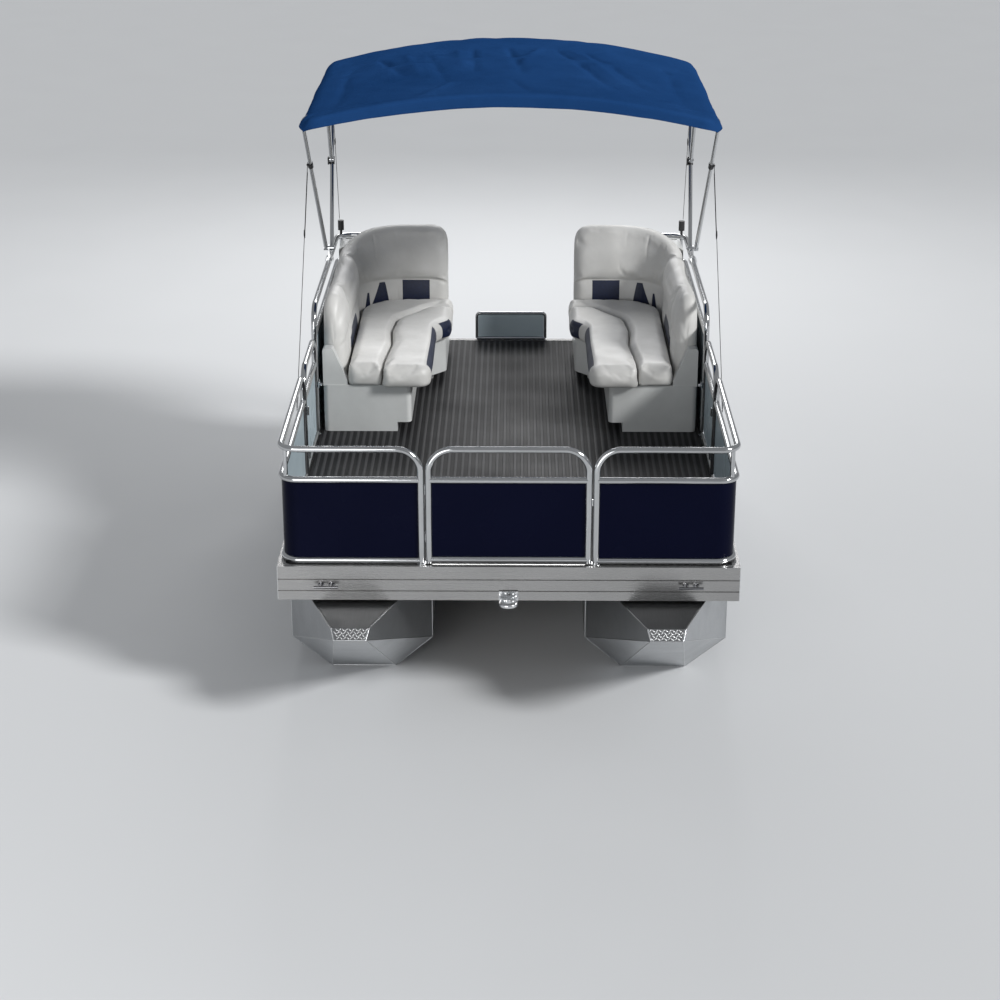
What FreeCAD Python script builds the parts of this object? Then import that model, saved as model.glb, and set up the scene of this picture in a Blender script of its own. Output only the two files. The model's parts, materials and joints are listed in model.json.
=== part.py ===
import FreeCAD
import Part
import Sketcher

import math
import os

# Compact pontoon boat with a folding sun canopy, three gates and two corner lounges.
# Millimetres, +Z up. The bow points to -Y and port is +X.
# The origin lies on the floor under the middle of the boat.

doc = FreeCAD.newDocument("PontoonBoat")
sheet = doc.addObject("Spreadsheet::Sheet", "Sizes")

SIZES = {
    # hull
    "hull_shift": 79.5, "hull_width": 734, "hull_height": 600, "hull_keel_width": 334,
    "hull_chine_height": 205, "hull_stern_gap": 120, "nose_reach": 320, "nose_top_reach": 280,
    "nose_tip_width": 186, "nose_lip": 45, "nose_root": 480, "keel_start": 560,
    "nose_plate_end": -20, "nose_plate_inset": 7, "nose_plate_wall": 3,
    # deck and its frame
    "deck_width": 2286, "deck_length": 3860, "deck_top": 805, "flooring": 3, "deck_board": 25,
    "beam_height": 105, "beam_width": 76, "beam_flange": 14, "beam_wall": 6, "beam_count": 9,
    "beam_first": 180, "fascia_height": 178, "fascia_depth": 40, "fascia_groove": 6, "cap_wall": 3,
    "riser_width": 60, "riser_wall": 6,
    # fences
    "tube_r": 16, "rail_inset": 28, "bow_inset": 45, "low_rail": 599, "low_mid_rail": 441,
    "tall_rail": 755, "tall_mid_rail": 598, "corner_bend": 90, "post_bend": 120, "strut_r": 11,
    "foot_r": 25, "foot_plate": 5, "rail_lift": 1.2, "panel_wall": 3, "seat_gap": 0.3, "gate_gap": 5.3,
    "gate_half": 392, "gate_lift": 6, "wrap_end": 1235, "side_gate": 640, "stern_rail": 3650,
    "stern_post": 430,
    # hinges and latches
    "hinge_offset": 20, "pin_r": 5, "pin_fit": 0.05, "knuckle_r": 9, "knuckle": 22, "hinge_low": 110,
    "hinge_high": 360, "latch_height": 300, "latch_reach": 62, "latch_wall": 5, "latch_tall": 34,
    "latch_foot": 3, "knob_r": 9, "knob_length": 16, "hinge_wall": 6, "pin_end": 4,
    # stern
    "splash_half": 236, "splash_height": 180, "splash_tube_r": 10, "pod_half": 230, "pod_length": 720,
    "pod_overhang": 40, "pod_drop": 420, "transom_wall": 40, "engine_top_drop": 60, "engine_top_pitch": 327.5,
    "engine_low_pitch": 250, "engine_row_drop": 203, "engine_hole_r": 6.5, "transom_rise": 20,
    # fittings
    "eye_r": 48, "eye_hole_r": 19, "eye_thick": 24, "eye_plate": 6, "eye_plate_half": 48,
    "eye_plate_tall": 50, "cleat_length": 120, "cleat_gap": 243,
    # lounges
    "base_front": 2008, "base_gap": 65, "base_edge": 572, "base_height": 281, "toe_height": 56,
    "toe_depth": 82, "base_step": 2790, "base_step_end": 2990, "base_end_edge": 743, "base_back": 3612,
    "base_bend": 30, "slot_wide": 53, "slot_deep": 28, "slot_inset": 22, "cushion_bend": 120,
    "seam_edge": 404, "seam_wave": 30, "seam_length": 982, "seam_tail": 290,
    "cushion_thick": 122, "cushion_front": 1945, "cushion_edge": 688, "cushion_end_edge": 759,
    "soft_gap": 2, "back_face_gap": 201, "stern_back_face": 3424, "back_turn": 400, "back_room": 9,
    "shelf_height": 748, "arm_height": 500, "arm_wide": 136, "arm_depth": 68,
    "side_back_rise": 490, "stern_back_rise": 572, "back_head": 104,
    # canopy
    "pivot_y": 3030, "pivot_rise": 75, "bow_r": 12.5, "front_bow_gap": 10, "rear_bow_gap": 46,
    "front_bow_angle": 139.2, "rear_bow_angle": 69.4, "middle_bow_angle": 121.3, "jaw_s": 535,
    "jaw_offset": 36, "bow_crown_rise": 1186, "bow_drop": 160, "bow_bend": 95, "canopy_bend": 55,
    "strap_jaw_s": 1048, "mount_half": 28, "mount_wall": 8, "mount_tab": 6, "mount_eye_r": 16,
    "bow_eye_wall": 3, "jaw_half": 24, "jaw_wall": 3, "slide_half": 22,
    "canopy_gap": 0.4, "canopy_wall": 8, "canopy_depth": 203, "canopy_hem": 72,
    "strap_width": 25, "strap_wall": 2.4, "strap_foot_y": 1235, "strap_foot_rise": 390,
    "strap_gap": -7, "stern_post_height": 86, "stern_cap_r": 19, "stern_cap_height": 62,
}
for row, (name, value) in enumerate(SIZES.items(), start=1):
    sheet.set("A%d" % row, name)
    sheet.set("B%d" % row, str(value))
    sheet.setAlias("B%d" % row, name)
doc.recompute()


class Length:
    """A length that keeps its value together with the sheet expression behind it."""

    def __init__(self, value, text):
        self.value = float(value)
        self.text = text

    def __add__(self, other):
        other = as_length(other)
        return Length(self.value + other.value, "(%s + %s)" % (self.text, other.text))

    def __radd__(self, other):
        return as_length(other) + self

    def __sub__(self, other):
        other = as_length(other)
        return Length(self.value - other.value, "(%s - %s)" % (self.text, other.text))

    def __rsub__(self, other):
        return as_length(other) - self

    def __mul__(self, factor):
        return Length(self.value * factor, "(%s * %s)" % (self.text, factor))

    __rmul__ = __mul__

    def __truediv__(self, divisor):
        return Length(self.value / divisor, "(%s / %s)" % (self.text, divisor))

    def __neg__(self):
        return self * -1

    def __float__(self):
        return self.value


def as_length(item):
    if isinstance(item, Length):
        return item
    return Length(item, repr(item))


def size(name):
    return Length(sheet.get(name), "Sizes." + name)


def mm(name):
    return float(sheet.get(name))


nodes = []

# Measures that many pieces share. Lengthwise places are given from the deck's bow edge.
deck = mm("deck_top")
reach_end = mm("deck_length") + mm("pod_overhang") + mm("transom_wall")
middle = (reach_end - mm("nose_reach")) / 2
rail_x = mm("deck_width") / 2 - mm("rail_inset")
gate_pitch = 2 * mm("tube_r") + mm("gate_gap")
rail_floor = mm("tube_r") + mm("seat_gap") + mm("rail_lift")
side_gate_start = mm("wrap_end") + gate_pitch
side_gate_end = side_gate_start + mm("side_gate")
tall_start = side_gate_end + gate_pitch
pivot_z = mm("tall_rail") + mm("pivot_rise")


def inboard(name):
    """A place across the boat, measured in from the deck's side."""
    return mm("deck_width") / 2 - mm(name)


def at(x, y, rise):
    """A point from its distance off centre, its place behind the bow edge and its height over the deck."""
    return FreeCAD.Vector(x, y - middle, deck + rise)


def origin_plane(body, role):
    return [item for item in body.Origin.OriginFeatures if item.Role == role][0]


def bind_point(sketch, index, u, v):
    for axis, length in (("X", u), ("Y", v)):
        if abs(length.value) < 1e-9:
            kind = "Vertical" if axis == "X" else "Horizontal"
            sketch.addConstraint(Sketcher.Constraint(kind, -1, 1, index, 1))
            continue
        positive = length.value > 0
        order = (-1, 1, index, 1) if positive else (index, 1, -1, 1)
        number = sketch.addConstraint(Sketcher.Constraint("Distance" + axis, *order, abs(length.value)))
        text = length.text if positive else (-length).text
        sketch.setExpression("Constraints[%d]" % number, text)


def outline(body, name, role, corners, offset=None):
    """A closed sketch of straight sides whose corners are bound to the sheet."""
    sketch = body.newObject("Sketcher::SketchObject", name)
    sketch.AttachmentSupport = [(origin_plane(body, role), "")]
    sketch.MapMode = "FlatFace"
    if offset is not None:
        sketch.setExpression("AttachmentOffset.Base.z", offset.text)
    points = [FreeCAD.Vector(u.value, v.value, 0) for u, v in corners]
    count = len(points)
    for index in range(count):
        sketch.addGeometry(Part.LineSegment(points[index], points[(index + 1) % count]), False)
    for index in range(count):
        sketch.addConstraint(Sketcher.Constraint("Coincident", index, 2, (index + 1) % count, 1))
    for index, (u, v) in enumerate(corners):
        bind_point(sketch, index, u, v)
    return sketch


def new_body(label):
    body = doc.addObject("PartDesign::Body", label)
    body.Label = label
    nodes.append(body)
    return body


def pad(body, name, sketch, length, midplane=False, backwards=False):
    feature = body.newObject("PartDesign::Pad", name)
    feature.Profile = sketch
    feature.setExpression("Length", length.text)
    feature.Midplane = midplane
    feature.Reversed = backwards
    doc.recompute()
    return feature


def place(thing, y=0.0, z=0.0, x=0.0):
    thing.Placement = FreeCAD.Placement(at(x, y, z - deck), FreeCAD.Rotation())


def keep_shape(label, shape):
    """A node whose form no single feature gives, built from shapes sized by the sheet."""
    feature = doc.addObject("Part::Feature", label)
    feature.Label = label
    feature.Shape = shape
    nodes.append(feature)
    return feature


def fused(shapes):
    result = shapes[0].multiFuse(shapes[1:]) if len(shapes) > 1 else shapes[0]
    return result.removeSplitter()


def box(x0, x1, y0, y1, z0, z1):
    low = at(min(x0, x1), min(y0, y1), min(z0, z1))
    return Part.makeBox(abs(x1 - x0), abs(y1 - y0), abs(z1 - z0), low)


def rod(start, end, radius):
    return Part.makeCylinder(radius, (end - start).Length, start, end - start)


def bent_wire(points, bends):
    """Straight runs joined by arcs. Each inner corner has its own bend radius."""
    edges = []
    start = points[0]
    for index in range(1, len(points) - 1):
        corner = points[index]
        back = (points[index - 1] - corner).normalize()
        ahead = (points[index + 1] - corner).normalize()
        half = back.getAngle(ahead) / 2
        radius = bends[index - 1]
        reach = radius / math.tan(half)
        first = corner + back * reach
        last = corner + ahead * reach
        bisector = (back + ahead).normalize()
        middle_point = corner + bisector * (radius / math.sin(half) - radius)
        if (first - start).Length > 1e-6:
            edges.append(Part.makeLine(start, first))
        edges.append(Part.Arc(first, middle_point, last).toShape())
        start = last
    edges.append(Part.makeLine(start, points[-1]))
    return Part.Wire(edges)


def swept_rod(path, radius):
    start = path.OrderedVertexes[0].Point
    direction = path.OrderedEdges[0].tangentAt(path.OrderedEdges[0].FirstParameter)
    ring = Part.Wire([Part.makeCircle(radius, start, direction)])
    return path.makePipeShell([ring], True, False)


def bent_tube(points, bends, radius):
    return swept_rod(bent_wire(points, bends), radius)


def mirrored(shape):
    return shape.mirror(FreeCAD.Vector(0, 0, 0), FreeCAD.Vector(1, 0, 0))


SIDES = (("starboard", -1), ("port", 1))


def on_side(shape, side):
    """Shapes are drawn on the port side and mirrored for starboard."""
    return shape if side > 0 else mirrored(shape)


# Hull

def hull_centre():
    """The pontoons lie a little outboard of midway between the pod and the deck's side."""
    return (mm("deck_width") / 2 + mm("pod_half")) / 2 + mm("hull_shift")


def hull_shape():
    """A folded-sheet pontoon: flat-topped, chined below, with a faceted nose."""
    half = mm("hull_width") / 2
    keel = mm("hull_keel_width") / 2
    tip = mm("nose_tip_width") / 2
    top = mm("hull_height") - deck
    chine = mm("hull_chine_height") - deck
    floor = -deck
    root = mm("nose_root")
    slope = (half - tip) / (root + mm("nose_top_reach"))
    lip_y = -mm("nose_reach")
    lip = tip - slope * (mm("nose_reach") - mm("nose_top_reach"))
    stern = mm("deck_length") - mm("hull_stern_gap")
    centre = hull_centre()

    def corner(x, y, z):
        return at(centre + x, y, z)

    faces = []

    def add(*corners):
        faces.append(Part.Face(Part.makePolygon(list(corners) + [corners[0]])))

    for sign in (-1, 1):
        top_tip = corner(sign * tip, -mm("nose_top_reach"), top)
        lip_tip = corner(sign * lip, lip_y, top - mm("nose_lip"))
        shoulder = corner(sign * half, root, top)
        chine_root = corner(sign * half, root, chine)
        chine_end = corner(sign * half, stern, chine)
        keel_root = corner(sign * keel, mm("keel_start"), floor)
        keel_end = corner(sign * keel, stern, floor)
        top_end = corner(sign * half, stern, top)
        add(top_tip, shoulder, chine_root, lip_tip)
        add(lip_tip, chine_root, keel_root)
        add(shoulder, top_end, chine_end, chine_root)
        add(chine_root, chine_end, keel_end, keel_root)
    add(corner(-tip, -mm("nose_top_reach"), top), corner(tip, -mm("nose_top_reach"), top),
        corner(half, root, top), corner(half, stern, top), corner(-half, stern, top),
        corner(-half, root, top))
    add(corner(-tip, -mm("nose_top_reach"), top), corner(tip, -mm("nose_top_reach"), top),
        corner(lip, lip_y, top - mm("nose_lip")), corner(-lip, lip_y, top - mm("nose_lip")))
    add(corner(-lip, lip_y, top - mm("nose_lip")), corner(lip, lip_y, top - mm("nose_lip")),
        corner(keel, mm("keel_start"), floor), corner(-keel, mm("keel_start"), floor))
    add(corner(-keel, mm("keel_start"), floor), corner(keel, mm("keel_start"), floor),
        corner(keel, stern, floor), corner(-keel, stern, floor))
    add(corner(-half, stern, top), corner(half, stern, top), corner(half, stern, chine),
        corner(keel, stern, floor), corner(-keel, stern, floor), corner(-half, stern, chine))
    solid = Part.Solid(Part.makeShell(faces))
    if solid.Volume < 0:
        solid.reverse()
    return solid


def nose_plate():
    """Tread plate folded over the nose: a tapered sheet on top and a short one down the lip."""
    tip = mm("nose_tip_width") / 2
    slope = (mm("hull_width") / 2 - tip) / (mm("nose_root") + mm("nose_top_reach"))
    start = -mm("nose_top_reach")
    end = mm("nose_plate_end")
    inset = mm("nose_plate_inset")
    wall = mm("nose_plate_wall")
    top = mm("hull_height") - deck + mm("seat_gap")
    centre = hull_centre()
    wide = tip + slope * (end - start) - inset
    narrow = tip - inset
    lip = narrow - slope * (mm("nose_reach") - mm("nose_top_reach"))
    down = mm("nose_lip") - 2

    def sheet_of(points, away):
        return Part.Face(Part.makePolygon(points + points[:1])).extrude(away)

    level = sheet_of([at(centre - narrow, start, top), at(centre + narrow, start, top),
                      at(centre + wide, end, top), at(centre - wide, end, top)], FreeCAD.Vector(0, 0, wall))
    fall = FreeCAD.Vector(0, -(mm("nose_reach") - mm("nose_top_reach")), -mm("nose_lip")).normalize()
    away = FreeCAD.Vector(0, fall.z, -fall.y)
    lift = away * mm("seat_gap")
    reach = fall * (down / abs(fall.z))
    metal = mm("hull_height") - deck
    corners = [at(centre - narrow, start, metal), at(centre + narrow, start, metal),
               at(centre + lip, start, metal) + reach, at(centre - lip, start, metal) + reach]
    turned = sheet_of([corner + lift for corner in corners], away * wall)
    wedge = sheet_of([at(centre - narrow, start, top), at(centre - narrow, start, top + wall),
                      corners[0] + away * (wall + mm("seat_gap")), corners[0] + lift],
                     FreeCAD.Vector(narrow * 2, 0, 0))
    return fused([level, turned, wedge])


def add_hulls():
    for name, side in SIDES:
        keep_shape("pontoon_" + name, on_side(hull_shape(), side))
    plate = nose_plate()
    keep_shape("nose_plates", Part.makeCompound([plate, mirrored(plate)]))


beam_top = -mm("flooring") - mm("deck_board")
beam_bottom = beam_top - mm("beam_height")
hull_top = mm("hull_height") - deck


def beam_places():
    last = mm("deck_length") - mm("beam_first")
    count = int(mm("beam_count"))
    step = (last - mm("beam_first")) / (count - 1)
    return [mm("beam_first") + step * index for index in range(count)]


def add_beams():
    """Hat-section cross beams under the deck board."""
    half = mm("beam_width") / 2
    wall = mm("beam_wall")
    flange = mm("beam_flange")
    reach = mm("deck_width") / 2 - mm("fascia_depth") - mm("seat_gap")
    beams = []
    for y in beam_places():
        section = [(-half - flange, beam_bottom), (-half - flange, beam_bottom + wall),
                   (-half, beam_bottom + wall), (-half, beam_top), (half, beam_top),
                   (half, beam_bottom + wall), (half + flange, beam_bottom + wall),
                   (half + flange, beam_bottom), (half - wall, beam_bottom), (half - wall, beam_top - wall),
                   (-half + wall, beam_top - wall), (-half + wall, beam_bottom)]
        points = [at(-reach, y + u, v) for u, v in section]
        face = Part.Face(Part.makePolygon(points + [points[0]]))
        beams.append(face.extrude(FreeCAD.Vector(2 * reach, 0, 0)))
    keep_shape("deck_cross_beams", Part.makeCompound(beams))


def add_risers():
    """Two angle rails on each pontoon carry the cross beams."""
    wall = mm("riser_wall")
    width = mm("riser_width")
    start = beam_places()[0] - mm("beam_width")
    end = mm("deck_length") - mm("hull_stern_gap") - mm("seat_gap")
    low = hull_top
    high = beam_bottom
    angles = []
    for side in (-1, 1):
        for inner in (-1, 1):
            web = side * hull_centre() + inner * mm("hull_width") * 0.3
            foot = web - inner * width
            angles.append(fused([box(web, web - inner * wall, start, end, low, high),
                                 box(web, foot, start, end, low, low + wall),
                                 box(web, foot, start, end, high - wall, high)]))
    keep_shape("hull_risers", Part.makeCompound(angles))


# Deck

def add_deck():
    inner = size("deck_width") / 2 - size("fascia_depth") - size("seat_gap")
    front = size("fascia_depth") + size("seat_gap")
    back = size("deck_length") - size("fascia_depth") - size("seat_gap")
    layers = (("deck_board", -mm("flooring"), "deck_board"), ("deck_flooring", 0, "flooring"))
    for label, top, thick in layers:
        body = new_body(label)
        corners = [(-inner, front), (inner, front), (inner, back), (-inner, back)]
        sketch = outline(body, label + "_outline", "XY_Plane", corners)
        pad(body, label + "_pad", sketch, size(thick), backwards=True)
        place(body, 0, deck + top)


def fascia_section():
    """Outer face with two grooves and a rounded lip, drawn outwards from the deck's edge."""
    depth = size("fascia_depth")
    height = size("fascia_height")
    groove = size("fascia_groove")
    bands = [(0.0, 0.34), (0.40, 0.68), (0.74, 1.0)]
    corners = []
    for index, (first, last) in enumerate(bands):
        corners += [(depth, -height * first), (depth, -height * last)]
        if index < len(bands) - 1:
            corners.append((depth - groove, -height * (last + 0.015)))
            corners.append((depth - groove, -height * (bands[index + 1][0] - 0.015)))
    return corners + [(size("seat_gap"), -height), (size("seat_gap"), as_length(0))]


def add_fascias():
    """Extruded edge rails round the deck, mitre-free with capped corners."""
    depth = size("fascia_depth")
    half = size("deck_width") / 2
    length = size("deck_length")
    cap = size("cap_wall") + size("seat_gap")
    for label, turn, run, start in (
            ("fascia_bow", 180, half * 2 - cap * 2, (0, depth)),
            ("fascia_stern", 0, half * 2 - cap * 2, (0, length - depth)),
            ("fascia_port", -90, length - depth * 2 - size("seat_gap") * 2, (half - depth, length / 2)),
            ("fascia_starboard", 90, length - depth * 2 - size("seat_gap") * 2, (depth - half, length / 2))):
        body = new_body(label)
        sketch = outline(body, label + "_section", "YZ_Plane", fascia_section())
        pad(body, label + "_run", sketch, run, midplane=True)
        spot = at(float(start[0]), float(start[1]), 0)
        body.Placement = FreeCAD.Placement(spot, FreeCAD.Rotation(FreeCAD.Vector(0, 0, 1), turn))


def add_corner_caps():
    wall = mm("cap_wall")
    half = mm("deck_width") / 2
    length = mm("deck_length")
    gap = mm("seat_gap")
    caps = []
    for side in (-1, 1):
        for y0, inward in ((0, 1), (length, -1)):
            plate = box(side * (half - wall), side * half, y0, y0 + inward * (mm("fascia_depth") - gap),
                        -mm("fascia_height"), 0)
            caps.append(plate)
    keep_shape("fascia_corner_caps", Part.makeCompound(caps))


# Fences

def panel_strip(points, bends, wall, low, high):
    """A thin sheet that stands along a flat path."""
    flat = [FreeCAD.Vector(p.x, p.y, low) for p in points]
    wire = bent_wire(flat, bends)
    start = flat[0]
    along = (flat[1] - flat[0]).normalize()
    across = FreeCAD.Vector(-along.y, along.x, 0)
    corners = [start + across * (wall / 2), start - across * (wall / 2)]
    tall = FreeCAD.Vector(0, 0, high - low)
    corners += [corners[1] + tall, corners[0] + tall]
    section = Part.makePolygon(corners + [corners[0]])
    return wire.makePipeShell([section], True, False)


def fence(label, posts, corner, rail, mid_rail, run_bends):
    """An end-to-end top rail with mid and bottom rails, a corner strut and two sheet panels."""
    r = mm("tube_r")
    first, last = posts
    foot = rail_floor
    top = [at(first[0], first[1], 1), at(first[0], first[1], rail), at(corner[0], corner[1], rail),
           at(last[0], last[1], rail), at(last[0], last[1], 1)]
    shapes = [bent_tube(top, [run_bends[0], mm("corner_bend"), run_bends[1]], r)]
    for height in (mid_rail, foot):
        turn = at(corner[0], corner[1], height)
        ends = [at(spot[0], spot[1], height) for spot in (first, last)]
        ends = [end + (turn - end).normalize() * (r * 0.4) for end in ends]
        shapes.append(bent_tube([ends[0], turn, ends[1]], [mm("corner_bend")], r))
    bend = mm("corner_bend") * (1 - math.sqrt(0.5))
    toward_y = 1 if last[1] > corner[1] or first[1] > corner[1] else -1
    spot_x = corner[0] - bend
    spot_y = corner[1] + toward_y * bend
    shapes.append(rod(at(spot_x, spot_y, mid_rail + 5), at(spot_x, spot_y, rail - 5), mm("strut_r")))
    for spot in (first, last):
        disc = at(spot[0], spot[1], mm("seat_gap"))
        shapes.append(rod(disc, at(spot[0], spot[1], mm("foot_plate")), mm("foot_r")))
    frames = [fused(shapes), fused([mirrored(shape) for shape in shapes])]
    inset = r + mm("seat_gap")
    points = []
    for spot, goal in ((first, corner), (last, corner)):
        step = FreeCAD.Vector(goal[0] - spot[0], goal[1] - spot[1], 0).normalize() * inset
        points.append(at(spot[0] + step.x, spot[1] + step.y, 0))
    path = [points[0], at(corner[0], corner[1], 0), points[1]]
    panel = panel_strip(path, [mm("corner_bend")], mm("panel_wall"),
                        deck + foot + inset, deck + mid_rail - inset)
    keep_shape(label + "_rails", Part.makeCompound(frames))
    keep_shape(label + "_panels", Part.makeCompound([panel, mirrored(panel)]))


def add_fences():
    bow = mm("bow_inset")
    inner = mm("gate_half") + gate_pitch
    bend = mm("post_bend")
    fence("fence_bow", ((inner, bow), (rail_x, mm("wrap_end"))), (rail_x, bow),
          mm("low_rail"), mm("low_mid_rail"), (bend, bend))
    fence("fence_stern", ((rail_x, tall_start), (mm("stern_post"), mm("stern_rail"))),
          (rail_x, mm("stern_rail")), mm("tall_rail"), mm("tall_mid_rail"), (bend, bend))


# Gates

def gate_leaf(length):
    """A gate drawn along +X from its hinge post, in the plane of its rails."""
    r = mm("tube_r")
    lift = mm("gate_lift")
    low = rail_floor + lift
    bend = mm("post_bend")

    def point(x, rise):
        return FreeCAD.Vector(x, 0, rise)

    hoop = bent_tube([point(0, lift), point(0, mm("low_rail")), point(length, mm("low_rail")),
                      point(length, lift)], [bend, bend], r)
    rails = [rod(point(0, height), point(length, height), r) for height in (mm("low_mid_rail"), low)]
    frame = fused([hoop] + rails)
    inset = r + mm("seat_gap")
    panel = Part.makeBox(length - 2 * inset, mm("panel_wall"), mm("low_mid_rail") - low - 2 * inset,
                         FreeCAD.Vector(inset, -mm("panel_wall") / 2, low + inset))
    return frame, panel


def hinge_arm(post, axis, low, high, with_pin):
    """A knuckle on the axis, joined by a plate to the face of its post."""
    r = mm("pin_r")
    tall = high - low
    ring = Part.makeCylinder(mm("knuckle_r"), tall, FreeCAD.Vector(axis.x, axis.y, low))
    run = FreeCAD.Vector(post.x - axis.x, post.y - axis.y, 0)
    reach = run.Length - mm("tube_r") - mm("seat_gap")
    plate = Part.makeBox(reach, mm("hinge_wall"), tall, FreeCAD.Vector(0, -mm("hinge_wall") / 2, low))
    angle = math.degrees(math.atan2(run.y, run.x))
    plate.rotate(FreeCAD.Vector(0, 0, 0), FreeCAD.Vector(0, 0, 1), angle)
    plate.translate(FreeCAD.Vector(axis.x, axis.y, 0))
    arm = ring.fuse(plate)
    if with_pin:
        below = mm("knuckle") + mm("pin_end")
        pin = Part.makeCylinder(r, tall + below, FreeCAD.Vector(axis.x, axis.y, low - below))
        return arm.fuse(pin).removeSplitter()
    hole = Part.makeCylinder(r + mm("pin_fit"), tall + 2, FreeCAD.Vector(axis.x, axis.y, low - 1))
    return arm.cut(hole).removeSplitter()


def gate_shapes(length):
    """Leaf, panel, moving fittings and fixed knuckles, drawn with the inside towards +Y."""
    gap = mm("seat_gap")
    frame, panel = gate_leaf(length)
    axis = FreeCAD.Vector(-gate_pitch / 2, mm("hinge_offset"), 0)
    own_post = FreeCAD.Vector(0, 0, 0)
    fixed_post = FreeCAD.Vector(-gate_pitch, 0, 0)
    fixed = []
    moving = []
    for height in (mm("hinge_low"), mm("hinge_high")):
        middle_z = height + mm("knuckle")
        fixed.append(hinge_arm(fixed_post, axis, height, middle_z, False))
        moving.append(hinge_arm(own_post, axis, middle_z + gap, middle_z + gap + mm("knuckle"), True))
    face = mm("tube_r") + mm("latch_foot")
    high = mm("latch_height")
    half = mm("tube_r") / 2
    foot = Part.makeBox(half * 2, mm("latch_foot") - gap, mm("latch_tall"),
                        FreeCAD.Vector(length - half, mm("tube_r") + gap, high))
    plate = Part.makeBox(mm("latch_reach"), mm("latch_wall"), mm("latch_tall"),
                         FreeCAD.Vector(length - mm("tube_r"), face, high))
    hub = FreeCAD.Vector(length, face + mm("latch_wall"), high + mm("latch_tall") / 2)
    knob = Part.makeCylinder(mm("knob_r"), mm("knob_length"), hub, FreeCAD.Vector(0, 1, 0))
    fittings = Part.makeCompound(moving + [fused([plate, foot, knob])])
    return [("gate_%s", frame), ("gate_%s_panel", panel), ("gate_%s_fittings", fittings)], fixed


def moved(shape, placement):
    shape = shape.copy()
    shape.Placement = placement
    return shape


def add_gates():
    """The bow gate and a gate in each side, hung at their forward or starboard posts."""
    bow_place = FreeCAD.Placement(at(-mm("gate_half"), mm("bow_inset"), 0), FreeCAD.Rotation())
    leaf, knuckles = gate_shapes(2 * mm("gate_half"))
    for label, shape in leaf:
        keep_shape(label % "bow", moved(shape, bow_place))
    fixed = [moved(knuckle, bow_place) for knuckle in knuckles]
    turn = FreeCAD.Rotation(FreeCAD.Vector(0, 0, 1), 90)
    side_place = FreeCAD.Placement(at(rail_x, side_gate_start, 0), turn)
    leaf, knuckles = gate_shapes(mm("side_gate"))
    for name, side in SIDES:
        for label, shape in leaf:
            keep_shape(label % name, on_side(moved(shape, side_place), side))
        fixed += [on_side(moved(knuckle, side_place), side) for knuckle in knuckles]
    keep_shape("gate_knuckles", Part.makeCompound(fixed))


# Stern

def add_splash_panel():
    """Low framed panel at the deck's end, in front of where an outboard stands."""
    r = mm("splash_tube_r")
    half = mm("splash_half")
    y = mm("deck_length") - r - 4
    high = mm("splash_height")
    low = r + mm("seat_gap")
    corners = [at(-half + r, y, low), at(-half + r, y, high), at(half - r, y, high), at(half - r, y, low)]
    hoop = bent_tube(corners, [24, 24], r)
    frame = fused([hoop, rod(corners[0], corners[3], r)])
    keep_shape("stern_splash_frame", frame)
    inset = r + mm("seat_gap")
    wall = mm("panel_wall")
    side = half - r - inset
    line = closed_outline([at(-side, y - wall / 2, low + inset), at(side, y - wall / 2, low + inset),
                           at(side, y - wall / 2, high - inset), at(-side, y - wall / 2, high - inset)],
                          [2, 2, 14, 14])
    keep_shape("stern_splash_panel", Part.Face(line).extrude(FreeCAD.Vector(0, wall, 0)))


def add_motor_pod():
    """Boxed bracket under the stern with a bolt-on transom for an outboard."""
    half = size("pod_half")
    top = -size("fascia_height") - size("seat_gap")
    body = new_body("motor_pod")
    rear = size("deck_length") + size("pod_overhang")
    low = top - size("pod_drop")
    corners = [(rear - size("pod_length"), top), (rear, top), (rear, low), (rear - size("pod_drop"), low)]
    sketch = outline(body, "pod_side", "YZ_Plane", corners)
    pad(body, "pod_box", sketch, half * 2, midplane=True)
    place(body, 0, deck)
    wall = mm("transom_wall")
    y0 = float(rear)
    rise = float(top)
    plate = box(-mm("pod_half") + 10, mm("pod_half") - 10, y0, y0 + wall, rise - mm("pod_drop") + 20,
                rise + mm("transom_rise"))
    high = rise - mm("engine_top_drop")
    rows = ((mm("engine_top_pitch"), high), (mm("engine_low_pitch"), high - mm("engine_row_drop")))
    for pitch, z in rows:
        for side in (-1, 1):
            x = side * pitch / 2
            plate = plate.cut(rod(at(x, y0 - 1, z), at(x, y0 + wall + 1, z), mm("engine_hole_r")))
    keep_shape("outboard_transom", plate)


# Fittings

def add_tow_eye():
    """A thick level ring that stands out of a plate on the bow fascia's lower edge."""
    thick = mm("eye_thick")
    face = -mm("seat_gap") - mm("eye_plate")
    y = face - mm("eye_r") + 2
    low = -mm("fascia_height") - thick / 4
    ring = rod(at(0, y, low), at(0, y, low + thick), mm("eye_r"))
    ring = ring.cut(rod(at(0, y, low - 1), at(0, y, low + thick + 1), mm("eye_hole_r")))
    for radius, reach in ((thick * 0.44, mm("eye_r")), (thick / 3, mm("eye_hole_r"))):
        ring = ring.makeFillet(radius, [edge for edge in ring.Edges if edge.BoundBox.ZLength < 0.01
                                        and abs(edge.BoundBox.XMax - reach) < 0.01])
    half = mm("eye_plate_half")
    plate = box(-half, half, face, -mm("seat_gap"), low + thick / 4, low + thick / 4 + mm("eye_plate_tall"))
    keep_shape("tow_eye", fused([ring, plate]))


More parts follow.
